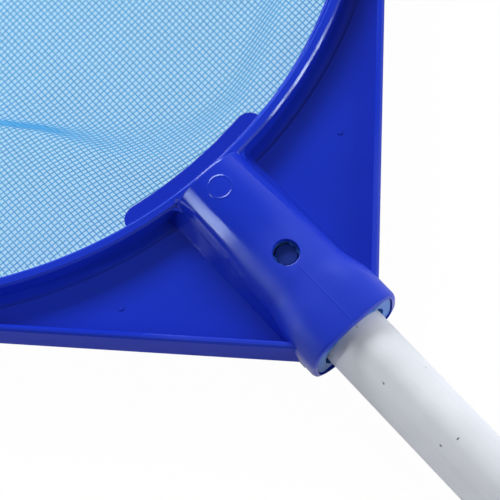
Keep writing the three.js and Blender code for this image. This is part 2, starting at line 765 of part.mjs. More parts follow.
// A button on a flange, with a rivet stem through the arm.
function clipButton(side) {
  const seat = CLIP_CENTRE + CLIP_THICKNESS / 2 + GAP / 2;
  const back = CLIP_CENTRE - CLIP_THICKNESS / 2 - GAP / 2;
  const tip = SOCKET_BODY_HALF[1] - BUTTON_RECESS;
  const flangeTop = seat + BUTTON_FLANGE_HEIGHT;
  const profile = [
    [back - RIVET_HEAD_HEIGHT, 0],
    [back - RIVET_HEAD_HEIGHT, RIVET_HEAD_RADIUS],
    [back, RIVET_HEAD_RADIUS],
    [back, RIVET_RADIUS],
    [seat, RIVET_RADIUS],
    [seat, BUTTON_FLANGE],
    [flangeTop, BUTTON_FLANGE],
    [flangeTop, BUTTON_RADIUS],
    ...roundedEnd(tip, BUTTON_RADIUS, BUTTON_EASE, 1),
    [tip, 0],
  ];
  return uprightTurned(buttonAt, profile, side);
}

// Moulded runner on the inner tube's rear end. It guides the tube inside the other one.
function tubeRunner() {
  const radius = outerBore - SLIDE_CLEARANCE;
  const spigot = tubeBore - GAP;
  const collar = runnerEnd - RUNNER_COLLAR;
  const start = runnerEnd - RUNNER_LENGTH;
  const body = turned([
    [start, spigot - RUNNER_WALL],
    [start, spigot],
    [collar, spigot],
    ...roundedEnd(collar, radius, RUNNER_EASE, -1),
    ...roundedEnd(runnerEnd, radius, RUNNER_EASE, 1),
    [runnerEnd, spigot - RUNNER_WALL],
    [start, spigot - RUNNER_WALL],
  ]);
  const at = tubeEnd - RUNNER_PIN_INSET;
  return body.subtract(uprightPin(at, RUNNER_PIN_RADIUS + GAP, -poleHeight, poleHeight));
}

// Upright hole from the pole's axis to its top, for the lock's screw.
const lockScrewHole = (radius) => uprightPin(lockScrewAt, radius, 0, poleHeight);

const outerTube = () =>
  pipe(outerTubeStart, outerTubeEnd, outerBore, outerRadius).subtract(
    lockScrewHole(SCREW_RADIUS + GAP),
  );

// The lock's body: a sleeve on the outer tube, with a shoulder behind the nut.
const lockBodyBore = outerRadius + GAP;
const lockBodyRadius = lockBodyBore + LOCK_BODY_WALL;

function lockBody() {
  const start = outerTubeStart;
  const end = lockBodyStart + LOCK_BODY_LENGTH;
  const shoulder = end - LOCK_SHOULDER + LOCK_CLEARANCE;
  const radius = LOCK_SHOULDER_OD / 2;
  const headSeat = radius - SCREW_SINK - SCREW_HEAD_HEIGHT - GAP;
  const body = turned([
    [start, lockBodyBore],
    [start, lockBodyRadius],
    [shoulder, lockBodyRadius],
    ...roundedEnd(shoulder, radius, LOCK_SHOULDER_EASE, -1),
    [end - LOCK_TAPER_LENGTH, radius],
    ...roundedEnd(end, lockBodyRadius, LOCK_SHOULDER_EASE, 1),
    [end, lockBodyBore],
    [start, lockBodyBore],
  ]);
  return body
    .subtract(lockScrewHole(SCREW_RADIUS + GAP))
    .subtract(uprightPin(lockScrewAt, SCREW_HEAD_RADIUS + GAP, headSeat, poleHeight));
}

// Slotted collet in front of the outer tube. The nut squeezes its fingers on the inner tube.
function lockCollet() {
  const start = lockBodyStart;
  const end = start + COLLET_LENGTH;
  const bore = tubeRadius + SLIDE_CLEARANCE;
  const radius = bore + COLLET_WALL;
  const ring = turned([
    [start, bore],
    [start, radius - COLLET_NOSE_DROP],
    [start + COLLET_NOSE_LENGTH, radius],
    [end, radius],
    [end, bore],
    [start, bore],
  ]);
  const slots = Array.from({ length: COLLET_SLOTS }, (_, i) => {
    const cut = new THREE.BoxGeometry(COLLET_LENGTH, radius, COLLET_SLOT_WIDTH);
    cut.translate(start - COLLET_ROOT + COLLET_LENGTH / 2, radius, 0);
    cut.rotateX((2 * Math.PI * i) / COLLET_SLOTS);
    return solid(cut.translate(0, 0, poleHeight));
  });
  return ring.subtract(union(slots));
}

function lockNut() {
  const radius = LOCK_NUT_OD / 2;
  const end = lockStart + LOCK_NUT_LENGTH;
  const bore = lockBodyRadius + LOCK_CLEARANCE;
  const mouthBore = tubeRadius + LOCK_CLEARANCE;
  const front = lockBodyStart - GAP;
  const shell = turned([
    [lockStart, mouthBore],
    ...roundedEnd(lockStart, radius - LOCK_NUT_NOSE_DROP, LOCK_NUT_EASE, -1),
    [lockStart + LOCK_NUT_NOSE_LENGTH, radius],
    ...roundedEnd(end, radius, LOCK_NUT_EASE, 1),
    [end, bore],
    [front, bore],
    [front, mouthBore],
    [lockStart, mouthBore],
  ]);
  const flutes = Array.from({ length: LOCK_NUT_FLUTES }, (_, i) => {
    const size = [LOCK_NUT_FLUTE_RADIUS, LOCK_NUT_FLUTE_RADIUS, LOCK_NUT_FLUTE_LENGTH];
    const cut = new THREE.CylinderGeometry(...size, FLUTE_SIDES);
    cut.rotateZ(Math.PI / 2);
    cut.translate(
      lockStart + LOCK_NUT_FLUTE_START + LOCK_NUT_FLUTE_LENGTH / 2,
      0,
      radius + LOCK_NUT_FLUTE_RADIUS - LOCK_NUT_FLUTE_DEPTH,
    );
    cut.rotateX((2 * Math.PI * (i + 0.5)) / LOCK_NUT_FLUTES);
    return solid(cut.translate(0, 0, poleHeight));
  });
  return shell.subtract(union(flutes));
}

// Small screw through the lock body's shoulder into the outer tube.
function lockScrew() {
  const head = LOCK_SHOULDER_OD / 2 - SCREW_SINK;
  return uprightTurned(lockScrewAt, [
    [outerBore + GAP, 0],
    [outerBore + GAP, SCREW_RADIUS],
    [head - SCREW_HEAD_HEIGHT, SCREW_RADIUS],
    [head - SCREW_HEAD_HEIGHT / 2, SCREW_HEAD_RADIUS],
    [head, SCREW_HEAD_RADIUS - SCREW_HEAD_EASE],
    [head, 0],
  ]);
}

// Cross pin that holds the runner in the inner tube.
function runnerPin() {
  const at = tubeEnd - RUNNER_PIN_INSET;
  return uprightPin(at, RUNNER_PIN_RADIUS, -tubeRadius, tubeRadius);
}

// Soft ribbed sleeve over the outer tube's rear end.
function grip() {
  const bore = outerRadius + GRIP_BORE_CLEARANCE;
  const radius = GRIP_OD / 2;
  const end = outerTubeEnd;
  const start = end - GRIP_LENGTH;
  const pitch = (GRIP_LENGTH - 2 * GRIP_PLAIN_END) / GRIP_RINGS;
  const grooves = Array.from({ length: GRIP_RINGS }, (_, i) => {
    const at = start + GRIP_PLAIN_END + pitch * (i + 0.5);
    return [
      [at - pitch / 3, radius],
      [at, radius - GRIP_GROOVE_DEPTH],
      [at + pitch / 3, radius],
    ];
  }).flat();
  const profile = [
    [start, bore],
    [start, radius - GRIP_NOSE_DROP],
    [start + GRIP_NOSE_LENGTH, radius],
    ...grooves,
    ...roundedEnd(end, radius, GRIP_EASE, 1),
    [end, bore],
    [start, bore],
  ];
  return turned(profile, GRIP_SIDES);
}

// End cap: a plug in the outer tube, a round flange and a flat tab with a hanging hole.
function endCap() {
  const flange = capStart + CAP_FLANGE;
  const radius = GRIP_OD / 2 - CAP_FLANGE_DROP;
  const body = turned([
    [capStart - CAP_PLUG_LENGTH, 0],
    ...roundedEnd(capStart - CAP_PLUG_LENGTH, outerBore - GAP, CAP_PLUG_EASE, -1),
    [capStart, outerBore - GAP],
    [capStart, radius],
    ...roundedEnd(flange, radius, CAP_EASE, 1),
    [flange, 0],
  ]);
  const half = CAP_TAB_WIDTH / 2;
  const centre = poleEnd - half;
  const root = flange - CAP_EASE / 2;
  const outline = [
    new THREE.Vector2(root, -CAP_TAB_ROOT / 2),
    ...arc(centre, 0, half, -Math.PI / 2, Math.PI / 2, CORNER_STEPS),
    new THREE.Vector2(root, CAP_TAB_ROOT / 2),
  ];
  const low = poleHeight - CAP_TAB_THICKNESS / 2;
  const tab = prism(outline, low, low + CAP_TAB_THICKNESS);
  const hole = uprightPin(centre, CAP_HOLE_RADIUS, -CAP_TAB_THICKNESS, CAP_TAB_THICKNESS);
  return body.add(tab).subtract(hole);
}

// ---- Assembly -----------------------------------------------------------

const finishes = {
  bluePlastic: { color: 0x1a2fb4, roughness: 0.32, metalness: 0 },
  netMesh: { color: 0x4aa0e0, roughness: 0.7, metalness: 0 },
  tubeAluminium: { color: 0xc9ced3, roughness: 0.38, metalness: 0.9 },
  springSteel: { color: 0xb4b8bc, roughness: 0.3, metalness: 1 },
  greyPlastic: { color: 0x9aa0a6, roughness: 0.5, metalness: 0 },
  softGrip: { color: 0x16249a, roughness: 0.75, metalness: 0 },
};

const skimmer = new THREE.Group();
skimmer.position.x = (lipFront - poleEnd) / 2;

function place(group, name, made, finish) {
  const material = new THREE.MeshStandardMaterial(finishes[finish]);
  const mesh = new THREE.Mesh(geometryOf(made), material);
  mesh.name = name;
  group.add(mesh);
}

const head = new THREE.Group();
place(head, "head_frame", headFrame(), "bluePlastic");
place(head, "net_hoop", netHoop(), "bluePlastic");
place(head, "net_hem", netHem(), "netMesh");
place(head, "mesh_net", meshNet(), "netMesh");
place(head, "socket_sleeve", socketSleeve(), "bluePlastic");

const innerPole = new THREE.Group();
place(innerPole, "inner_tube", innerTube(), "tubeAluminium");
place(innerPole, "tube_plug", tubePlug(), "greyPlastic");
place(innerPole, "tube_runner", tubeRunner(), "greyPlastic");
place(innerPole, "runner_pin", runnerPin(), "springSteel");
place(innerPole, "clip_bend", clipBend(), "springSteel");

const clips = new THREE.Group();
for (const [word, side] of [["top", 1], ["bottom", -1]]) {
  place(clips, `clip_arm_${word}`, clipArm(side), "springSteel");
  place(clips, `clip_button_${word}`, clipButton(side), "bluePlastic");
}

const outerPole = new THREE.Group();
place(outerPole, "outer_tube", outerTube(), "tubeAluminium");
place(outerPole, "lock_body", lockBody(), "bluePlastic");
place(outerPole, "lock_collet", lockCollet(), "greyPlastic");
place(outerPole, "lock_screw", lockScrew(), "springSteel");
place(outerPole, "lock_nut", lockNut(), "bluePlastic");
place(outerPole, "hand_grip", grip(), "softGrip");
place(outerPole, "end_cap", endCap(), "bluePlastic");

skimmer.add(head, innerPole, clips, outerPole);

export default skimmer;
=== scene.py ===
"""Leaf skimmer net: a moulded head with its slack net, on a two-stage telescopic pole.

Metres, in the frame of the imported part: +X along the pole, +Z up. The object's own
sizes are written in millimetres, and the studio's in metres.
"""

import math

import bmesh
import bpy
import numpy as np
from mathutils import Matrix, Vector


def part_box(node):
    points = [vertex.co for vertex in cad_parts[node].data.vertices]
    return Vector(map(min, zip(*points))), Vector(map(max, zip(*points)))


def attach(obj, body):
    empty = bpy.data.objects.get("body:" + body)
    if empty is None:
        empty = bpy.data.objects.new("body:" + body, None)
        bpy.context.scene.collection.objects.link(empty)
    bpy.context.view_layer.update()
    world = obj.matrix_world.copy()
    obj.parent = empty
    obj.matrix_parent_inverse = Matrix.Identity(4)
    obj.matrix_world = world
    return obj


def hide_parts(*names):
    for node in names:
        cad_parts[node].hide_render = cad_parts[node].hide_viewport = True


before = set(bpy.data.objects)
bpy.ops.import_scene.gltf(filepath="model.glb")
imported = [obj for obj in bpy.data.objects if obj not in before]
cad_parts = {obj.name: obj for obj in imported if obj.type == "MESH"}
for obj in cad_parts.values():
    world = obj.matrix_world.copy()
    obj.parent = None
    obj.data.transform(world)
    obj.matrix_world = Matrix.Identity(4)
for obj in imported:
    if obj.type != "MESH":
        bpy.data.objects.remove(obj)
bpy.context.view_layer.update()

# ---- Studio ---------------------------------------------------------------
# A white table in a room that is pale towards +Y and dark overhead and behind
# the camera. A broad softbox past the net is the key, a narrow one gives the
# streak on the socket, and a strip draws the ring's edge.


def linear(hexcode):
    """An sRGB hex colour as the linear colour that shaders take."""
    channels = [int(hexcode[i : i + 2], 16) / 255 for i in (1, 3, 5)]
    return tuple(
        c / 12.92 if c <= 0.04045 else ((c + 0.055) / 1.055) ** 2.4 for c in channels
    ) + (1.0,)


def add(tree, kind, inputs=None, **settings):
    """Adds a node. inputs maps a socket to a value or to another node's output."""
    node = tree.nodes.new(kind)
    for name, value in settings.items():
        setattr(node, name, value)
    for socket, value in (inputs or {}).items():
        if isinstance(value, bpy.types.NodeSocket):
            tree.links.new(value, node.inputs[socket])
        else:
            node.inputs[socket].default_value = value
    return node


def blank_material(name):
    """A new material and its empty node tree."""
    material = bpy.data.materials.new(name)
    material.use_nodes = True
    material.node_tree.nodes.clear()
    return material, material.node_tree


def show(obj):
    """Links an object to the scene."""
    bpy.context.scene.collection.objects.link(obj)
    return obj


# The room's light by the direction it comes from: the axis, where along it the
# light starts and stops changing, and how bright it is at those two places.
ROOM_LIGHT = [("Z", 0.35, 0.9, 0.65, 0.2), ("Y", -0.7, 0.6, 0.35, 1.1)]

world = bpy.data.worlds.new("studio air")
bpy.context.scene.world = world
world.use_nodes = True
tree = world.node_tree
tree.nodes.clear()
direction = add(tree, "ShaderNodeTexCoord")
toward = add(tree, "ShaderNodeSeparateXYZ", {0: direction.outputs["Generated"]})
ramps = []
for axis, start, stop, light_at_start, light_at_stop in ROOM_LIGHT:
    ramp = add(
        tree,
        "ShaderNodeMapRange",
        {
            "Value": toward.outputs[axis],
            "From Min": start,
            "From Max": stop,
            "To Min": light_at_start,
            "To Max": light_at_stop,
        },
        interpolation_type="SMOOTHSTEP",
    )
    ramps.append(ramp.outputs["Result"])
level = add(tree, "ShaderNodeMath", {0: ramps[0], 1: ramps[1]}, operation="MULTIPLY")
air = add(tree, "ShaderNodeBackground", {"Color": level.outputs[0], "Strength": 1.0})
add(tree, "ShaderNodeOutputWorld", {"Surface": air.outputs[0]})

TABLE_HALF = 4.0
TABLE_TOP = -0.0003  # just clear of the object's flat underside
TABLE_PLAIN = 0.98  # how much of its plain white the camera sees
TABLE_IN_GLOSS = 0.25  # and how much of that shows in glossy surfaces
table_mesh = bpy.data.meshes.new("table top")
corners = [(-1, -1), (1, -1), (1, 1), (-1, 1)]
table_mesh.from_pydata(
    [(x * TABLE_HALF, y * TABLE_HALF, TABLE_TOP) for x, y in corners], [], [(0, 1, 2, 3)]
)
table = show(bpy.data.objects.new("table_top", table_mesh))
# Laminate is an even white. The camera sees it almost plain, with a trace of the
# object's shadow, and glossy surfaces see a part of that white.
laminate, tree = blank_material("white laminate table top")
ray = add(tree, "ShaderNodeLightPath")
glossy = add(
    tree,
    "ShaderNodeMath",
    {0: ray.outputs["Is Glossy Ray"], 1: TABLE_IN_GLOSS},
    operation="MULTIPLY",
)
seen = add(
    tree,
    "ShaderNodeMath",
    {0: ray.outputs["Is Camera Ray"], 1: glossy.outputs[0]},
    operation="MAXIMUM",
)
seen = add(
    tree,
    "ShaderNodeMath",
    {0: seen.outputs[0], 1: ray.outputs["Is Transmission Ray"]},
    operation="MAXIMUM",
)
share = add(
    tree, "ShaderNodeMath", {0: seen.outputs[0], 1: TABLE_PLAIN}, operation="MULTIPLY"
)
# Painted light: the table's plain white turns pale blue under the net's opening, standing
# in for the light that comes through the blue yarns.
PAINTED_NET_LIGHT_TINT = "#ACD7F4"
NET_LIGHT_CENTRE = (-0.38565, 0.0, 0.0)
NET_LIGHT_RADIUS = 0.172
NET_LIGHT_FRONT = 0.128
NET_LIGHT_CORNER = 0.056
NET_LIGHT_EDGE = 0.006
where = add(tree, "ShaderNodeTexCoord")
spot = add(
    tree,
    "ShaderNodeVectorMath",
    {0: where.outputs["Object"], 1: NET_LIGHT_CENTRE},
    operation="SUBTRACT",
)
at = add(tree, "ShaderNodeSeparateXYZ", {0: spot.outputs[0]})
forward = add(tree, "ShaderNodeMath", {0: at.outputs["X"], 1: -1.0}, operation="MULTIPLY")
aside = add(tree, "ShaderNodeMath", {0: at.outputs["Y"]}, operation="ABSOLUTE")
under_net = None
# The round back of the opening, and then its straight front with two round corners.
for along, back, half, reach in (
    (at.outputs["X"], 0.0, 0.0, NET_LIGHT_RADIUS),
    (
        forward.outputs[0],
        NET_LIGHT_FRONT - NET_LIGHT_CORNER,
        NET_LIGHT_RADIUS - NET_LIGHT_CORNER,
        NET_LIGHT_CORNER,
    ),
):
    corner = add(tree, "ShaderNodeCombineXYZ", {"X": along, "Y": aside.outputs[0]})
    corner = add(
        tree,
        "ShaderNodeVectorMath",
        {0: corner.outputs[0], 1: (back, half, 0.0)},
        operation="SUBTRACT",
    )
    corner = add(
        tree,
        "ShaderNodeVectorMath",
        {0: corner.outputs[0], 1: (0.0, 0.0, 0.0)},
        operation="MAXIMUM",
    )
    far = add(tree, "ShaderNodeVectorMath", {0: corner.outputs[0]}, operation="LENGTH")
    within = add(
        tree,
        "ShaderNodeMapRange",
        {
            "Value": far.outputs["Value"],
            "From Min": reach,
            "From Max": reach + NET_LIGHT_EDGE,
            "To Min": 1.0,
            "To Max": 0.0,
        },
    )
    if under_net is None:
        under_net = within.outputs["Result"]
    else:
        under_net = add(
            tree,
            "ShaderNodeMath",
            {0: under_net, 1: within.outputs["Result"]},
            operation="MULTIPLY",
        ).outputs[0]
light_tint = add(
    tree,
    "ShaderNodeMix",
    {"Factor": under_net, "A": linear("#FFFFFF"), "B": linear(PAINTED_NET_LIGHT_TINT)},
    data_type="RGBA",
)
top = add(tree, "ShaderNodeBsdfDiffuse", {"Color": linear("#F4F4F4")})
white = add(
    tree, "ShaderNodeEmission", {"Color": light_tint.outputs["Result"], "Strength": 1.0}
)
both = add(
    tree,
    "ShaderNodeMixShader",
    {0: share.outputs[0], 1: top.outputs[0], 2: white.outputs[0]},
)
add(tree, "ShaderNodeOutputMaterial", {"Surface": both.outputs[0]})
table_mesh.materials.append(laminate)

# Each lamp: place, what it points at, width, height, turn in degrees, power in watts.
LAMPS = {
    "key softbox": ((-1.3, 0.34, 0.69), (-0.25, 0.0, 0.0), 1.2, 0.35, 0, 21.5),
    "streak softbox": ((-0.568, -0.829, 0.46), (-0.187, -0.01, 0.03), 0.06, 0.75, 9.4, 2.2),
    "edge strip": ((0.62, 0.715, 0.286), (-0.22, 0.055, 0.024), 0.42, 0.05, 0, 2.2),
    "front fill": ((0.62, 0.36, 0.7), (-0.1, 0.0, 0.0), 0.5, 0.7, 0, 3.6),
}
for name, (place, target, width, tall, turned, power) in LAMPS.items():
    light = bpy.data.lights.new(name, "AREA")
    light.shape = "RECTANGLE"
    light.size = width
    light.size_y = tall
    light.energy = power
    lamp = show(bpy.data.objects.new(name, light))
    lamp.location = place
    aim = Vector(target) - Vector(place)
    roll = Matrix.Rotation(math.radians(turned), 3, "Z")
    lamp.rotation_euler = (aim.to_track_quat("-Z", "Y").to_matrix() @ roll).to_euler()
    lamp.visible_camera = False

CAMERA_TARGET = Vector((-0.17970, -0.00427, 0.00880))
CAMERA_DISTANCE = 0.70308
CAMERA_AZIMUTH = math.radians(-30.25)
CAMERA_ELEVATION = math.radians(70.72)
CAMERA_ROLL = math.radians(-11.82)
CAMERA_LENS = 136.68
lens = bpy.data.cameras.new("camera")
lens.lens = CAMERA_LENS
lens.clip_start = 0.01
camera = show(bpy.data.objects.new("camera", lens))
around = Matrix.Rotation(CAMERA_AZIMUTH + math.pi / 2, 4, "Z")
down = Matrix.Rotation(math.pi / 2 - CAMERA_ELEVATION, 4, "X")
turn = Matrix.Rotation(CAMERA_ROLL, 4, "Z")
back = Matrix.Translation((0, 0, CAMERA_DISTANCE))
camera.matrix_world = Matrix.Translation(CAMERA_TARGET) @ around @ down @ turn @ back
bpy.context.scene.camera = camera
bpy.context.scene.view_settings.view_transform = "Standard"

# ---- Head frame -----------------------------------------------------------
# One injection moulding in blue polypropylene: scoop lip, rims, web, net ring
# and pole socket. The mould leaves rounded edges, faint pin marks on the web,
# a knit line behind the button hole and a parting line round the rims.

MM = 0.001
ON_ONE_LEVEL = 0.01
ON_ONE_ROUND = 0.02
LEAST_ROUND = 10  # walls of a smaller radius keep their facets
FACET_ANGLES = (2, 20)  # degrees that a facet of a round wall takes
FACET_CUTS = 3
MERGED_WITHIN = 0.002
FLAT_WITHIN = 0.6  # degrees between the triangles of one face
CHAMFER_BENDS = (28, 60)  # degrees: less is no edge, and more is a full edge
CHAMFER_SHARE = 0.3  # the edges of a chamfer are rounded less, so that it stays one
ROUNDING_STEPS = 3
SHARP_ANGLE = math.radians(35)
FACE_LEAD = 80  # how far a broad face outweighs its rounded edges in the shading


def apply_modifiers(obj):
    """Turns the evaluated object into a plain mesh."""
    name = obj.data.name
    seen_by = bpy.context.evaluated_depsgraph_get()
    obj.data = bpy.data.meshes.new_from_object(obj.evaluated_get(seen_by))
    obj.modifiers.clear()
    obj.data.name = name


def bend_facets(solid, axes):
    """Bends the facets of round walls into arcs. Each axis is a place in mm and the
    direction it runs in: 0 along the pole, 2 upright."""
    spoke = solid.verts.layers.float.new("spoke")
    for centre, along in axes:
        flat = [k for k in range(3) if k != along]
        middle = Vector([c * MM for c in centre])

        def out(vert):
            return Vector([vert.co[k] for k in flat]) - middle

        for vert in solid.verts:
            vert[spoke] = out(vert).length
        facets = []
        for line in solid.edges:
            a, b = line.verts
            level = abs(a.co[along] - b.co[along]) < ON_ONE_LEVEL * MM
            concentric = abs(a[spoke] - b[spoke]) < ON_ONE_ROUND * MM
            if level and concentric and a[spoke] > LEAST_ROUND * MM:
                angle = math.degrees(out(a).angle(out(b)))
                if FACET_ANGLES[0] < angle < FACET_ANGLES[1]:
                    facets.append(line)
        bent = bmesh.ops.subdivide_edges(
            solid, edges=facets, cuts=FACET_CUTS, use_grid_fill=True
        )
        for vert in bent["geom_inner"]:
            if isinstance(vert, bmesh.types.BMVert):
                place = middle + out(vert) * (vert[spoke] / out(vert).length)
                for k, c in zip(flat, place):
                    vert.co[k] = c


def moulded_copy(node, name, edge, axes=()):
    """A node's solid with its flat facets merged, its round walls bent into arcs and
    each edge rounded by a radius in mm."""
    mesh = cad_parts[node].data.copy()
    mesh.name = name
    solid = bmesh.new()
    solid.from_mesh(mesh)
    bmesh.ops.remove_doubles(solid, verts=solid.verts, dist=MERGED_WITHIN * MM)
    bmesh.ops.dissolve_limit(
        solid,
        angle_limit=math.radians(FLAT_WITHIN),
        verts=solid.verts,
        edges=solid.edges,
    )
    bend_facets(solid, axes)
    share = solid.edges.layers.float.new("bevel_weight_edge")
    for line in solid.edges:
        bend = math.degrees(line.calc_face_angle(0))
        if bend >= CHAMFER_BENDS[1]:
            line[share] = 1
        elif bend >= CHAMFER_BENDS[0]:
            line[share] = CHAMFER_SHARE
    solid.to_mesh(mesh)
    solid.free()
    obj = show(bpy.data.objects.new(name, mesh))
    rounding = obj.modifiers.new("edge rounding", "BEVEL")
    rounding.width = edge * MM
    rounding.segments = ROUNDING_STEPS
    rounding.limit_method = "WEIGHT"
    rounding.miter_outer = "MITER_ARC"
    apply_modifiers(obj)
    obj.data.polygons.foreach_set("use_smooth", [True] * len(obj.data.polygons))
    obj.data.set_sharp_from_angle(angle=SHARP_ANGLE)
    shading = obj.modifiers.new("broad faces lead the shading", "WEIGHTED_NORMAL")
    shading.keep_sharp = True
    shading.weight = FACE_LEAD
    apply_modifiers(obj)
    obj.data.materials.clear()
    return obj


def fit(obj, node, body, material):
    """Puts a finished piece in its node's place, on that node's body."""
    obj.data.materials.append(material)
    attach(obj, body)
    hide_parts(node)


# The axes of the ring and of the head's two front corners, and the pole's axis.
RING_CENTRE_X = -385.65
RING_AXES = [((RING_CENTRE_X, 0.0), 2), ((-456.65, 116.0), 2), ((-456.65, -116.0), 2)]
POLE_AXIS = [((0.0, 18.5), 0)]
# Two shades of blue that cloud into each other, and how wide the clouds are.
BLUE = "#132CB2"
BLUE_THIN = "#1832BC"
CLOUD = 55.0
# The broad faces' shallow sinks: how wide, and the height of their pattern.
SINK = 18.0
SINK_HEIGHT = 0.5
# Marks of the mould: the gate's middle, the radius of the ring round it and of the
# stub in it, where the knit line starts and ends, and how high the halves meet.
GATE_MARK = (-197.2, -0.8, 34.0)
GATE_RADIUS = 4.4
GATE_STUB = 1.1
KNIT_LINE = (-156.0, -128.0)
PARTING_HEIGHT = 15.6
# Where the handled mouth end fades in, along the pole and upwards.
HANDLED_X = (-188.0, -164.0)
HANDLED_Z = (20.0, 26.0)
HANDLED_ROUGHNESS = 0.42


def polypropylene(name, roughness, gloss):
    """Moulded blue polypropylene. Its colour clouds a little, broad faces sink by
    about a tenth of a millimetre, and the gate, knit line and parting line show."""
    material, tree = blank_material(name)
    where = add(tree, "ShaderNodeTexCoord")
    flow = add(
        tree,
        "ShaderNodeTexNoise",
        {
            "Vector": where.outputs["Object"],
            "Scale": 1 / (CLOUD * MM),
            "Detail": 2.0,
            "Roughness": 0.45,
        },
    )
    colour = add(
        tree,
        "ShaderNodeMix",
        {"Factor": flow.outputs["Fac"], "A": linear(BLUE), "B": linear(BLUE_THIN)},
        data_type="RGBA",
    )
    sink = add(
        tree,
        "ShaderNodeTexNoise",
        {
            "Vector": where.outputs["Object"],
            "Scale": 1 / (SINK * MM),
            "Detail": 1.0,
            "Roughness": 0.3,
        },
    )
    at = add(tree, "ShaderNodeSeparateXYZ", {0: where.outputs["Object"]})
    from_gate = add(
        tree,
        "ShaderNodeVectorMath",
        {0: where.outputs["Object"], 1: tuple(c * MM for c in GATE_MARK)},
        operation="DISTANCE",
    )
    gate_lip = add(
        tree,
        "ShaderNodeMath",
        {0: from_gate.outputs["Value"], 1: GATE_RADIUS * MM},
        operation="SUBTRACT",
    )
    parting = add(
        tree,
        "ShaderNodeMath",
        {0: at.outputs["Z"], 1: PARTING_HEIGHT * MM},
        operation="SUBTRACT",
    )
    behind_hole = add(
        tree,
        "ShaderNodeMath",
        {
            0: at.outputs["X"],
            1: sum(KNIT_LINE) / 2 * MM,
            2: (KNIT_LINE[1] - KNIT_LINE[0]) / 2 * MM,
        },
        operation="COMPARE",
    )
    # Off the knit line's stretch, its distance becomes a whole metre.
    knit_end = add(
        tree, "ShaderNodeMath", {0: 1.0, 1: behind_hole.outputs[0]}, operation="SUBTRACT"
    )
    knit = add(
        tree,
        "ShaderNodeMath",
        {0: at.outputs["Y"], 1: knit_end.outputs[0]},
        operation="ADD",
    )
    # Heights in millimetres, added up.
    relief = add(
        tree,
        "ShaderNodeMath",
        {0: sink.outputs["Fac"], 1: SINK_HEIGHT},
        operation="MULTIPLY",
    )
    # Each mark: distance from its middle, width of its slope in mm, height.
    for off, slope, height in (
        (gate_lip.outputs[0], 0.6, 0.14),
        (from_gate.outputs["Value"], GATE_STUB, 0.22),
        (parting.outputs[0], 0.35, 0.06),
        (knit.outputs[0], 0.6, 0.07),
    ):
        off = add(tree, "ShaderNodeMath", {0: off}, operation="ABSOLUTE")
        mark = add(
            tree,
            "ShaderNodeMapRange",
            {
                "Value": off.outputs[0],
                "From Max": slope * MM,
                "To Min": height,
                "To Max": 0.0,
            },
            interpolation_type="SMOOTHSTEP",
        )
        relief = add(
            tree,
            "ShaderNodeMath",
            {0: mark.outputs["Result"], 1: relief.outputs[0]},
            operation="ADD",
        )
    lift = add(tree, "ShaderNodeBump", {"Height": relief.outputs[0], "Distance": MM})
    shine = roughness
    if roughness < HANDLED_ROUGHNESS:
        # The top of the socket's mouth end is handled each time the head is clipped
        # on or off, so it is duller there.
        ramps = []
        for axis, (start, stop) in (("X", HANDLED_X), ("Z", HANDLED_Z)):
            ramp = add(
                tree,
                "ShaderNodeMapRange",
                {
                    "Value": at.outputs[axis],
                    "From Min": start * MM,
                    "From Max": stop * MM,
                },
                interpolation_type="SMOOTHSTEP",
            )
            ramps.append(ramp.outputs["Result"])
        worn = add(
            tree, "ShaderNodeMath", {0: ramps[0], 1: ramps[1]}, operation="MULTIPLY"
        )
        shine = add(
            tree,
            "ShaderNodeMapRange",
            {"Value": worn.outputs[0], "To Min": roughness, "To Max": HANDLED_ROUGHNESS},
        ).outputs["Result"]
    shader = add(
        tree,
        "ShaderNodeBsdfPrincipled",
        {
            "Base Color": colour.outputs["Result"],
            "Roughness": shine,
            "IOR": 1.49,
            "Specular IOR Level": gloss,
            "Specular Tint": linear("#CDE6FF"),
            "Normal": lift.outputs[0],
        },
    )
    add(tree, "ShaderNodeOutputMaterial", {"Surface": shader.outputs[0]})
    return material


# Polished mould faces give the top and the ring sharp highlights; the upright
# outer walls come off a spark-eroded face and stay dull.
glossy_blue = polypropylene(
    "blue polypropylene, polished mould", roughness=0.15, gloss=0.5
)
dull_blue = polypropylene(
    "blue polypropylene, spark-eroded mould", roughness=0.6, gloss=0.2
)

LIP_BACK = -521.0
DULL_BESIDE = 26
UPRIGHT = 0.15  # the most that an upright face's normal rises
OFF_FACE = 0.05

head = moulded_copy("head_frame", "head_moulding", edge=0.5, axes=RING_AXES)
fit(head, "head_frame", "head", glossy_blue)
head.data.materials.append(dull_blue)
# The dull finish is on the scoop lip, and on each upright wall beside the socket
# that has nothing in front of it.
dull_walls = []
for wall in head.data.polygons:
    if wall.center.x < LIP_BACK * MM:
        dull_walls.append(wall)
    elif abs(wall.normal.z) < UPRIGHT and abs(wall.center.y) > DULL_BESIDE * MM:
        outside = wall.center + wall.normal * OFF_FACE * MM
        if not head.ray_cast(outside, wall.normal)[0]:
            dull_walls.append(wall)
for wall in dull_walls:
    wall.material_index = 1

# Ejector pins leave small round marks on the floor of the web.
PIN_PLACES = [(-190.0, 50.2), (-193.2, -54.8), (-241.0, 104.0), (-241.0, -104.0)]
PIN_RADIUS = 1.1
PIN_PROUD = 0.3
PIN_SIDES = 24
ABOVE_HEAD = 100
pins = []
for x, y in PIN_PLACES:
    start = Vector((x, y, ABOVE_HEAD)) * MM
    pins.append(head.ray_cast(start, (0, 0, -1))[1])
pin_points = bpy.data.meshes.new("pin_points")
pin_points.from_pydata(pins, [], [])
pin_marks = show(bpy.data.objects.new("ejector_marks", pin_points))
stamp = bpy.data.node_groups.new("ejector pin marks", "GeometryNodeTree")
stamp.interface.new_socket("Geometry", in_out="INPUT", socket_type="NodeSocketGeometry")
pin_radius_in, pin_proud_in = (
    stamp.interface.new_socket(size, in_out="INPUT", socket_type="NodeSocketFloat")
    for size in ("Pin radius", "Pin height")
)
stamp.interface.new_socket("Geometry", in_out="OUTPUT", socket_type="NodeSocketGeometry")
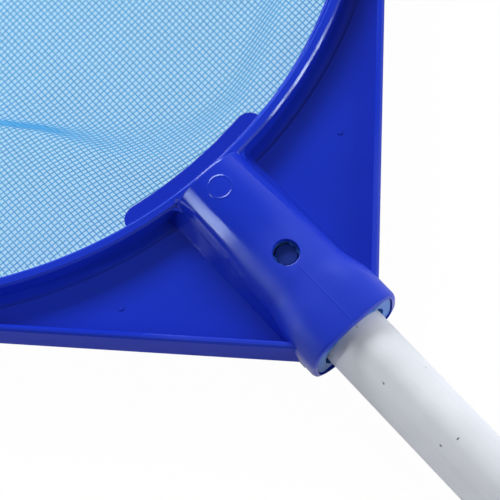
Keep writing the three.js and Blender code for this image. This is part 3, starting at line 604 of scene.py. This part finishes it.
given = add(stamp, "NodeGroupInput")
disc = add(
    stamp,
    "GeometryNodeMeshCone",
    {
        "Vertices": PIN_SIDES,
        "Radius Top": given.outputs["Pin radius"],
        "Radius Bottom": given.outputs["Pin radius"],
        "Depth": given.outputs["Pin height"],
    },
)
placed = add(
    stamp,
    "GeometryNodeInstanceOnPoints",
    {"Points": given.outputs["Geometry"], "Instance": disc.outputs["Mesh"]},
)
real = add(stamp, "GeometryNodeRealizeInstances", {"Geometry": placed.outputs["Instances"]})
dyed = add(
    stamp,
    "GeometryNodeSetMaterial",
    {"Geometry": real.outputs["Geometry"], "Material": glossy_blue},
)
add(stamp, "NodeGroupOutput", {"Geometry": dyed.outputs["Geometry"]})
stamping = pin_marks.modifiers.new("stamping", "NODES")
stamping.node_group = stamp
stamping[pin_radius_in.identifier] = PIN_RADIUS * MM
stamping[pin_proud_in.identifier] = PIN_PROUD * MM
apply_modifiers(pin_marks)
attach(pin_marks, "head")

# ---- Net hoop -------------------------------------------------------------
# A flat hoop of the same blue polypropylene, pressed into the ring on top of the
# net's edge. Its tongue bridges the net in front of the socket.

hoop = moulded_copy("net_hoop", "hoop_moulding", edge=0.35, axes=RING_AXES)
fit(hoop, "net_hoop", "head", glossy_blue)

# ---- Net and hem ----------------------------------------------------------
# Square-mesh net of light blue nylon yarn, cut larger than its opening, so
# that it hangs in a flat-bottomed bag. A polyester tape sewn round its edge
# lies on the ledge inside the ring, and the hoop holds it down.

OPENING_RADIUS = 174.2
OPENING_FRONT = 129.2
OPENING_CORNER = 58.2
BAG_CENTRE = 20.0
HEM_HEIGHT = 11.3
SHELF_HEIGHT = 9.9
BAG_FLOOR = 1.3
# Where the bag's wall stands: angle round the bag's centre, distance, width of the
# wall. It is a steep fold towards the pole, and softer elsewhere.
BAG_WALL = [
    (-180, 118, 20),
    (-150, 128, 20),
    (-120, 136, 20),
    (-90, 136, 18),
    (-65, 118, 12),
    (-45, 98, 8),
    (-26.4, 90, 8.5),
    (-19.2, 95.8, 9.5),
    (-15, 101, 13),
    (-11.1, 108, 19),
    (-7, 117, 27),
    (-2.3, 125, 28),
    (3.1, 131, 24),
    (8.8, 136, 18),
    (14.4, 138, 16),
    (20.4, 136, 16),
    (28.2, 134, 16),
    (60, 138, 18),
    (90, 140, 20),
    (120, 136, 20),
    (150, 128, 20),
    (180, 118, 20),
]
ANGLE_STEP = 0.5
EASED_OVER = 4  # angle steps on either side
BAG_STEPS = 601
OUTLINE_STEPS = 5001

angles = np.radians(np.arange(-180, 180 + ANGLE_STEP, ANGLE_STEP))
wall_at, wall_width = (
    np.interp(np.degrees(angles), [w[0] for w in BAG_WALL], [w[k] for w in BAG_WALL])
    for k in (1, 2)
)


def eased(values):
    """Evens out values that run round the bag, from the front back to the front."""
    before, after = values[-EASED_OVER - 1 : -1], values[1 : EASED_OVER + 1]
    shares = np.hanning(2 * EASED_OVER + 1)
    round_it = np.concatenate([before, values, after])
    return np.convolve(round_it, shares / shares.sum(), "valid")


wall_at, wall_width = eased(wall_at), eased(wall_width)


def opening_reach(angle):
    """Distance from the bag's centre to the opening's outline, in mm."""
    c, s = np.cos(angle), np.sin(angle)
    steps = np.linspace(0, 1.5 * OPENING_RADIUS, OUTLINE_STEPS)[:, None]
    x, y = BAG_CENTRE + steps * c, np.abs(steps * s)
    straight = OPENING_RADIUS - OPENING_CORNER
    corner_x = -OPENING_FRONT + OPENING_CORNER
    inside = np.where(x >= 0, np.hypot(x, y) <= OPENING_RADIUS, y <= OPENING_RADIUS)
    inside &= x >= -OPENING_FRONT
    in_corner = (x < corner_x) & (y > straight)
    inside &= ~in_corner | (np.hypot(x - corner_x, y - straight) <= OPENING_CORNER)
    return steps[:, 0][np.argmax(~inside, axis=0) - 1]


# The bag from its centre outwards, at each angle: distance in plan, then height.
reach = opening_reach(angles)
uniform = np.linspace(0, 1, BAG_STEPS)
plan = uniform[:, None] * reach
rise = np.clip((plan - wall_at) / wall_width + 0.5, 0, 1)
rise = rise * rise * (3 - 2 * rise)
beyond = np.clip((plan - wall_at) / (reach - wall_at), 0, 1)
shelf = SHELF_HEIGHT + (HEM_HEIGHT - SHELF_HEIGHT) * beyond**2
hang = BAG_FLOOR + (shelf - BAG_FLOOR) * rise
# The same at even steps along the cloth, which gives the size it was cut to.
step = np.hypot(np.diff(plan, axis=0), np.diff(hang, axis=0))
cut = np.concatenate([np.zeros((1, len(angles))), np.cumsum(step, axis=0)])
cut_reach = cut[-1]
plan_of = np.empty_like(plan)
hang_of = np.empty_like(plan)
for j in range(len(angles)):
    plan_of[:, j] = np.interp(uniform * cut_reach[j], cut[:, j], plan[:, j])
    hang_of[:, j] = np.interp(uniform * cut_reach[j], cut[:, j], hang[:, j])

# Slow waves in the slack cloth: height, how far they run along the pole and across
# it for each radian, and where they start.
WAVES = [(0.45, 9.3, 14.1, 0.6), (0.35, 17.7, -8.9, 2.1), (0.25, 6.1, -31.0, 4.0)]
TAUT_EDGE = 40  # the waves die out over this distance from the hem
YARN_RADIUS = 0.27
OFF_TABLE = 0.3  # the least gap under a yarn


def hung(u, v):
    """Where a point of the flat cut comes to lie once the net hangs in its hoop, in mm."""
    radius, angle = np.hypot(u, v), np.arctan2(v, u)
    column = (angle + math.pi) / (2 * math.pi) * (len(angles) - 1)
    j = np.clip(column.astype(int), 0, len(angles) - 2)
    f = column - j
    limit = cut_reach[j] * (1 - f) + cut_reach[j + 1] * f
    row = np.clip(radius / limit, 0, 1) * (len(uniform) - 1)
    i = np.clip(row.astype(int), 0, len(uniform) - 2)
    g = row - i

    def read(table):
        near = table[i, j] * (1 - g) + table[i + 1, j] * g
        far = table[i, j + 1] * (1 - g) + table[i + 1, j + 1] * g
        return near * (1 - f) + far * f

    out, z = read(plan_of), read(hang_of)
    x, y = BAG_CENTRE + out * np.cos(angle), out * np.sin(angle)
    loose = np.clip((limit - radius) / TAUT_EDGE, 0, 1)
    z = z + loose * sum(
        height * np.sin(x / along + y / across + start)
        for height, along, across, start in WAVES
    )
    return np.stack([x, y, np.maximum(z, YARN_RADIUS + OFF_TABLE)], axis=-1)


outline = np.stack([cut_reach * np.cos(angles), cut_reach * np.sin(angles)], axis=-1)


def crossings(axis, level):
    """Where a straight yarn at that level enters and leaves the flat cut."""
    across, along = outline[:, 1 - axis] - level, outline[:, axis]
    k = np.nonzero(across[:-1] * across[1:] < 0)[0]
    hits = along[k] + (along[k + 1] - along[k]) * across[k] / (across[k] - across[k + 1])
    return (hits.min(), hits.max()) if len(hits) > 1 else None


# The yarns across the pole were drawn askew as the net was made: how far, at each
# distance along the line that runs from the bag's centre towards the lower rim.
SKEW_TOWARDS = (0.574, -0.819)
SKEW = [
    (-60, 0),
    (0, 3.5),
    (45, -1.8),
    (60, -3.6),
    (74, -4.2),
    (85, -3.0),
    (99, 0),
    (113, 2.6),
    (130, 4),
    (200, 4),
]


def skewed(u, v):
    """How far along the pole a point of a yarn across it lies, drawn askew."""
    towards = SKEW_TOWARDS[0] * (u + BAG_CENTRE) + SKEW_TOWARDS[1] * v
    return u - np.interp(towards, [s[0] for s in SKEW], [s[1] for s in SKEW])


# The distance between the yarns along the pole, and between those across it.
YARN_PITCH = (2.0, 1.86)
YARN_SIDES = 3
YARN_CROSSING = 0.45  # how far a yarn passes over or under the others, in radii
SHORTEST_YARN = 4  # meshes
TRACE_STEP = 1.2
BEND_SPREAD = 5  # trace steps
# A yarn has a point for each so many mm, and so many more for each radian it bends.
POINT_EVERY, POINTS_IN_BEND = 7.0, 2.2

points, edges = [], []
for axis in (0, 1):
    pitch = YARN_PITCH[axis]
    half = np.abs(outline[:, 1 - axis]).max()
    for level in np.arange(-half + pitch / 2, half, pitch):
        span = crossings(axis, level)
        if span is None or span[1] - span[0] < SHORTEST_YARN * pitch:
            continue
        along = np.linspace(*span, max(8, int((span[1] - span[0]) / TRACE_STEP)))
        across = np.full_like(along, level)
        if axis == 0:
            path = hung(along, across)
        else:
            path = hung(skewed(across, along), along)
        move = np.diff(path, axis=0)
        length = np.linalg.norm(move, axis=1)
        unit = move / length[:, None]
        bend = np.zeros(len(length))
        bend[1:] = np.arccos(np.clip((unit[1:] * unit[:-1]).sum(1), -1, 1))
        bend = np.convolve(bend, np.ones(BEND_SPREAD) / BEND_SPREAD, "same")
        weight = np.cumsum(length / POINT_EVERY + bend * POINTS_IN_BEND)
        weight = np.concatenate([[0], weight])
        count = max(3, int(weight[-1]) + 2)
        picks = np.linspace(0, weight[-1], count)
        yarn = np.stack([np.interp(picks, weight, path[:, k]) for k in range(3)], axis=-1)
        yarn[:, 2] += YARN_RADIUS * (YARN_CROSSING if axis == 0 else -YARN_CROSSING)
        first = len(points)
        points.extend(yarn)
        edges.extend((first + k, first + k + 1) for k in range(count - 1))
points = (np.array(points) + (RING_CENTRE_X, 0, 0)) * MM

yarn_lines = bpy.data.meshes.new("yarn_lines")
yarn_lines.from_pydata(points.tolist(), edges, [])
net = show(bpy.data.objects.new("net_yarns", yarn_lines))

# Spun and dyed nylon is a milky blue, which varies in depth and gloss along the
# yarn as its fibres lie closer or looser.
YARN_PATCH = 1.6
nylon, tree = blank_material("light blue nylon yarn, knitted square mesh")
where = add(tree, "ShaderNodeTexCoord")
dye = add(
    tree,
    "ShaderNodeTexNoise",
    {"Vector": where.outputs["Object"], "Scale": 1 / (YARN_PATCH * MM), "Detail": 2.0},
)
tint = add(
    tree,
    "ShaderNodeMix",
    {"Factor": dye.outputs["Fac"], "A": linear("#3C9DDB"), "B": linear("#54B4E9")},
    data_type="RGBA",
)
rough = add(
    tree,
    "ShaderNodeMapRange",
    {"Value": dye.outputs["Fac"], "To Min": 0.62, "To Max": 0.48},
)
shader = add(
    tree,
    "ShaderNodeBsdfPrincipled",
    {
        "Base Color": tint.outputs["Result"],
        "Roughness": rough.outputs["Result"],
        "IOR": 1.53,
    },
)
add(tree, "ShaderNodeOutputMaterial", {"Surface": shader.outputs[0]})

spin = bpy.data.node_groups.new("yarns spun along their lines", "GeometryNodeTree")
spin.interface.new_socket("Geometry", in_out="INPUT", socket_type="NodeSocketGeometry")
radius_in, sides_in = (
    spin.interface.new_socket(name, in_out="INPUT", socket_type=kind)
    for name, kind in (("Yarn radius", "NodeSocketFloat"), ("Yarn sides", "NodeSocketInt"))
)
spin.interface.new_socket("Geometry", in_out="OUTPUT", socket_type="NodeSocketGeometry")
given = add(spin, "NodeGroupInput")
lines = add(spin, "GeometryNodeMeshToCurve", {"Mesh": given.outputs["Geometry"]})
upright = add(
    spin, "GeometryNodeSetCurveNormal", {"Curve": lines.outputs["Curve"]}, mode="Z_UP"
)
section = add(
    spin,
    "GeometryNodeCurvePrimitiveCircle",
    {"Resolution": given.outputs["Yarn sides"], "Radius": given.outputs["Yarn radius"]},
)
yarns = add(
    spin,
    "GeometryNodeCurveToMesh",
    {
        "Curve": upright.outputs["Curve"],
        "Profile Curve": section.outputs["Curve"],
        "Fill Caps": True,
    },
)
real = add(spin, "GeometryNodeRealizeInstances", {"Geometry": yarns.outputs["Mesh"]})
dyed = add(
    spin,
    "GeometryNodeSetMaterial",
    {"Geometry": real.outputs["Geometry"], "Material": nylon},
)
add(spin, "NodeGroupOutput", {"Geometry": dyed.outputs["Geometry"]})

spinning = net.modifiers.new("spinning", "NODES")
spinning.node_group = spin
spinning[radius_in.identifier] = YARN_RADIUS * MM
spinning[sides_in.identifier] = YARN_SIDES
apply_modifiers(net)

hem = moulded_copy("net_hem", "hem_tape", edge=0.12, axes=RING_AXES)
# The plain weave shows as a fine, dull chequer, with no gloss.
THREAD = 0.7
THREAD_PROUD = 0.06
woven, tree = blank_material("blue polyester tape, plain woven")
where = add(tree, "ShaderNodeTexCoord")
turned = add(
    tree,
    "ShaderNodeMapping",
    {"Vector": where.outputs["Object"], "Rotation": (0, 0, math.radians(45))},
)
weave = add(
    tree, "ShaderNodeTexChecker", {"Vector": turned.outputs[0], "Scale": 1 / (THREAD * MM)}
)
tint = add(
    tree,
    "ShaderNodeMix",
    {"Factor": weave.outputs["Fac"], "A": linear("#2C6FC9"), "B": linear("#3F86DB")},
    data_type="RGBA",
)
lift = add(
    tree, "ShaderNodeBump", {"Height": weave.outputs["Fac"], "Distance": THREAD_PROUD * MM}
)
shader = add(
    tree,
    "ShaderNodeBsdfPrincipled",
    {"Base Color": tint.outputs["Result"], "Roughness": 0.8, "Normal": lift.outputs[0]},
)
add(tree, "ShaderNodeOutputMaterial", {"Surface": shader.outputs[0]})
fit(hem, "net_hem", "head", woven)

# The net was cut to the outline that its bag has when it is laid out flat.
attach(net, "head")
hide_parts("mesh_net")

# ---- Socket sleeve --------------------------------------------------------
# A thin liner of paler blue acetal, pressed into the socket. Its two ears show
# in the mouth on either side of the tube.


def clouded(name, deep, pale, patch, detail, finish, proud=0):
    """A moulded finish that clouds between two colours in patches of a size in mm,
    which may stand proud by a height in mm. finish holds the shader's own values."""
    material, tree = blank_material(name)
    where = add(tree, "ShaderNodeTexCoord")
    cloud = add(
        tree,
        "ShaderNodeTexNoise",
        {"Vector": where.outputs["Object"], "Scale": 1 / (patch * MM), "Detail": detail},
    )
    tint = add(
        tree,
        "ShaderNodeMix",
        {"Factor": cloud.outputs["Fac"], "A": linear(deep), "B": linear(pale)},
        data_type="RGBA",
    )
    shader = add(
        tree, "ShaderNodeBsdfPrincipled", {"Base Color": tint.outputs["Result"], **finish}
    )
    if proud:
        lift = add(
            tree,
            "ShaderNodeBump",
            {"Height": cloud.outputs["Fac"], "Distance": proud * MM},
        )
        tree.links.new(lift.outputs[0], shader.inputs["Normal"])
    add(tree, "ShaderNodeOutputMaterial", {"Surface": shader.outputs[0]})
    return material


# Thin moulded acetal is slightly waxy, and its colour clouds where it flowed.
liner = clouded(
    "light blue acetal, moulded",
    "#2459B4",
    "#3E7CC8",
    patch=8,
    detail=2,
    finish={"Roughness": 0.4, "IOR": 1.48},
)
sleeve = moulded_copy("socket_sleeve", "sleeve_liner", edge=0.25, axes=POLE_AXIS)
fit(sleeve, "socket_sleeve", "head", liner)

# ---- Inner tube -----------------------------------------------------------
# Drawn aluminium tube, 25 mm across with a 1 mm wall, satin anodised: an even
# pale grey sheen, with a few specks where the socket has rubbed it.

# Drawing leaves faint lines along the tube, and the etched anodising turns its
# shine into a broad, pale sheen. The lines are wider than real ones, to show.
DRAW_LINE = (250, 2, 2)
DRAW_LINE_SHARE = 0.35
HANDLED_PATCH = 33
SPECK = 2.4
SPECK_FADE = (0.74, 0.8)
anodised, tree = blank_material("aluminium tube, drawn and satin anodised")
where = add(tree, "ShaderNodeTexCoord")
drawn = add(
    tree,
    "ShaderNodeMapping",
    {"Vector": where.outputs["Object"], "Scale": [1 / (mm * MM) for mm in DRAW_LINE]},
)
draw_lines = add(
    tree, "ShaderNodeTexNoise", {"Vector": drawn.outputs[0], "Scale": 1.0, "Detail": 1.0}
)
handled = add(
    tree,
    "ShaderNodeTexNoise",
    {
        "Vector": where.outputs["Object"],
        "Scale": 1 / (HANDLED_PATCH * MM),
        "Detail": 3.0,
        "Roughness": 0.55,
    },
)
tone = add(
    tree,
    "ShaderNodeMath",
    {0: draw_lines.outputs["Fac"], 1: DRAW_LINE_SHARE, 2: handled.outputs["Fac"]},
    operation="MULTIPLY_ADD",
)
metal_tint = add(
    tree,
    "ShaderNodeMix",
    {"Factor": tone.outputs[0], "A": linear("#C6CBD4"), "B": linear("#E0E4EB")},
    data_type="RGBA",
)
specks = add(
    tree,
    "ShaderNodeTexNoise",
    {"Vector": where.outputs["Object"], "Scale": 1 / (SPECK * MM), "Detail": 1.0},
)
speck = add(
    tree,
    "ShaderNodeMapRange",
    {
        "Value": specks.outputs["Fac"],
        "From Min": SPECK_FADE[0],
        "From Max": SPECK_FADE[1],
    },
)
metal_colour = add(
    tree,
    "ShaderNodeMix",
    {
        "Factor": speck.outputs["Result"],
        "A": metal_tint.outputs["Result"],
        "B": linear("#6A6E76"),
    },
    data_type="RGBA",
)
rough = add(
    tree,
    "ShaderNodeMapRange",
    {"Value": handled.outputs["Fac"], "To Min": 0.44, "To Max": 0.58},
)
shader = add(
    tree,
    "ShaderNodeBsdfPrincipled",
    {
        "Base Color": metal_colour.outputs["Result"],
        "Metallic": 0.35,
        "Roughness": rough.outputs["Result"],
    },
)
add(tree, "ShaderNodeOutputMaterial", {"Surface": shader.outputs[0]})

TUBE_SIDES = 120
TUBE_CHAMFER = 0.25
DRILL_SIDES = 32
INNER_WALL = 1.0
# Upright holes: place along the tube, radius, and the lowest and highest point.
BUTTON_HOLE = (-162.45, 4.9, 0, 40)
DOWEL_HOLE = (480.6, 1.8, 0, 40)


def drawn_tube(node, name, wall, holes):
    """A round tube in its node's place, with its upright holes drilled."""
    low, high = (np.array(corner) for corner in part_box(node))
    radius = (high[2] - low[2]) / 2
    axis_height = (high[2] + low[2]) / 2
    bevel = TUBE_CHAMFER * MM
    bore = radius - wall * MM
    profile = [
        (low[0], radius - bevel),
        (low[0] + bevel, radius),
        (high[0] - bevel, radius),
        (high[0], radius - bevel),
        (high[0], bore + bevel),
        (high[0] - bevel, bore),
        (low[0] + bevel, bore),
        (low[0], bore + bevel),
    ]
    turns = [2 * math.pi * k / TUBE_SIDES for k in range(TUBE_SIDES)]
    rows = [
        (x, r * math.cos(a), axis_height + r * math.sin(a))
        for a in turns
        for x, r in profile
    ]
    n = len(profile)
    faces = []
    for here in range(0, len(rows), n):
        beside = (here + n) % len(rows)
        for i in range(n):
            j = (i + 1) % n
            faces.append((here + i, beside + i, beside + j, here + j))
    mesh = bpy.data.meshes.new(name)
    mesh.from_pydata(rows, [], faces)
    solid = bmesh.new()
    solid.from_mesh(mesh)
    bmesh.ops.recalc_face_normals(solid, faces=solid.faces)
    solid.to_mesh(mesh)
    solid.free()
    tube = show(bpy.data.objects.new(name, mesh))
    for x, hole, bottom, top in holes:
        drill = bmesh.new()
        place = Matrix.Translation((x * MM, 0, (bottom + top) / 2 * MM))
        bmesh.ops.create_cone(
            drill,
            cap_ends=True,
            segments=DRILL_SIDES,
            radius1=hole * MM,
            radius2=hole * MM,
            depth=(top - bottom) * MM,
            matrix=place,
        )
        drill_mesh = bpy.data.meshes.new("drill")
        drill.to_mesh(drill_mesh)
        drill.free()
        bit = show(bpy.data.objects.new("drill", drill_mesh))
        drilling = tube.modifiers.new("drilling", "BOOLEAN")
        drilling.object = bit
        drilling.solver = "EXACT"
        apply_modifiers(tube)
        bpy.data.objects.remove(bit)
    tube.data.polygons.foreach_set("use_smooth", [True] * len(tube.data.polygons))
    tube.data.set_sharp_from_angle(angle=SHARP_ANGLE)
    return tube


inner = drawn_tube("inner_tube", "inner_pole", INNER_WALL, [BUTTON_HOLE, DOWEL_HOLE])
fit(inner, "inner_tube", "head", anodised)

# ---- Tube plug, runner and pin --------------------------------------------
# Grey acetal plug closing the tube in the socket, and the runner at its other
# end that keeps it central in the outer tube, held by a steel pin.

# Moulded acetal is smooth and a little mottled, with soft highlights.
acetal = clouded(
    "grey acetal, moulded",
    "#8F949B",
    "#A6ABB2",
    patch=4,
    detail=3,
    finish={"Roughness": 0.42, "IOR": 1.48},
    proud=0.03,
)

# Cold rolling leaves a bright face with a grain along the strip, drawn wider than
# the real one so that it shows.
ROLLED_GRAIN = (25, 0.7, 25)
steel, tree = blank_material("spring steel, bright rolled")
where = add(tree, "ShaderNodeTexCoord")
rolled = add(
    tree,
    "ShaderNodeMapping",
    {"Vector": where.outputs["Object"], "Scale": [1 / (mm * MM) for mm in ROLLED_GRAIN]},
)
grain = add(tree, "ShaderNodeTexNoise", {"Vector": rolled.outputs[0], "Scale": 1.0})
rough = add(
    tree,
    "ShaderNodeMapRange",
    {"Value": grain.outputs["Fac"], "To Min": 0.2, "To Max": 0.36},
)
shader = add(
    tree,
    "ShaderNodeBsdfPrincipled",
    {
        "Base Color": linear("#BFC2C6"),
        "Metallic": 1.0,
        "Roughness": rough.outputs["Result"],
    },
)
add(tree, "ShaderNodeOutputMaterial", {"Surface": shader.outputs[0]})

for node, name, edge, slot, finish in (
    ("tube_plug", "plug_disc", 0.3, "grey_plastic", acetal),
    ("tube_runner", "runner_bush", 0.3, "grey_plastic", acetal),
    ("runner_pin", "runner_dowel", 0.2, "spring_steel", steel),
):
    fit(moulded_copy(node, name, edge, axes=POLE_AXIS), node, "head", finish)

# ---- Button clip ----------------------------------------------------------
# A hairpin of flat spring steel inside the tube. Each arm carries a dark blue
# acetal button that springs out through the tube and the socket.

# The same acetal dyed dark, and darkened further as painted shade for its place deep in the
# socket's hole; its gloss is low all over.
button_blue = clouded(
    "dark blue acetal, moulded, with painted shade",
    "#0C2678",
    "#113288",
    patch=6,
    detail=2,
    finish={"Roughness": 0.5, "IOR": 1.48, "Specular IOR Level": 0.2},
)
STRIP_EDGE = 0.15
hairpin = moulded_copy("clip_bend", "clip_hairpin", STRIP_EDGE)
fit(hairpin, "clip_bend", "head", steel)
for side in ("top", "bottom"):
    arm = moulded_copy(f"clip_arm_{side}", f"clip_leaf_{side}", STRIP_EDGE)
    fit(arm, f"clip_arm_{side}", f"clip_{side}", steel)
    button = moulded_copy(f"clip_button_{side}", f"clip_stud_{side}", edge=0.25)
    fit(button, f"clip_button_{side}", f"clip_{side}", button_blue)

# ---- Outer tube -----------------------------------------------------------
# The pole's second stage: drawn aluminium tube, 28.6 mm across with a 0.9 mm
# wall, that slides over the inner tube. A screw through its top holds the lock.

OUTER_WALL = 0.9
SCREW_HOLE = (21.2, 1.5, 18.5, 40)
outer = drawn_tube("outer_tube", "outer_pole_tube", OUTER_WALL, [SCREW_HOLE])
fit(outer, "outer_tube", "outer_pole", anodised)

# ---- Twist lock -----------------------------------------------------------
# A blue moulded body screwed to the outer tube, a split collet of grey acetal,
# and the blue nut that squeezes the collet on the inner tube as it turns.

housing = moulded_copy("lock_body", "lock_housing", edge=0.5, axes=POLE_AXIS)
fit(housing, "lock_body", "outer_pole", glossy_blue)
collet = moulded_copy("lock_collet", "lock_jaws", edge=0.25, axes=POLE_AXIS)
fit(collet, "lock_collet", "outer_pole", acetal)
screw = moulded_copy("lock_screw", "lock_screw_head", edge=0.2)
fit(screw, "lock_screw", "outer_pole", steel)
nut = moulded_copy("lock_nut", "lock_twist_nut", edge=0.5, axes=POLE_AXIS)
fit(nut, "lock_nut", "lock_ring", glossy_blue)

# ---- Grip and end cap -----------------------------------------------------
# A ribbed sleeve of soft rubber pushed over the outer tube, and a moulded blue
# cap with a hanging tab that closes the tube's end.

# The etched mould gives the rubber a grit that scatters every highlight, drawn
# coarser than the real one so that it shows.
rubber = clouded(
    "thermoplastic rubber, moulded matt",
    "#101C74",
    "#18268C",
    patch=1.1,
    detail=2,
    finish={"Roughness": 0.7, "IOR": 1.52, "Specular IOR Level": 0.3},
    proud=0.08,
)
grip = moulded_copy("hand_grip", "grip_sleeve", edge=0.5, axes=POLE_AXIS)
fit(grip, "hand_grip", "outer_pole", rubber)
cap = moulded_copy("end_cap", "cap_moulding", edge=0.6, axes=POLE_AXIS)
fit(cap, "end_cap", "outer_pole", glossy_blue)
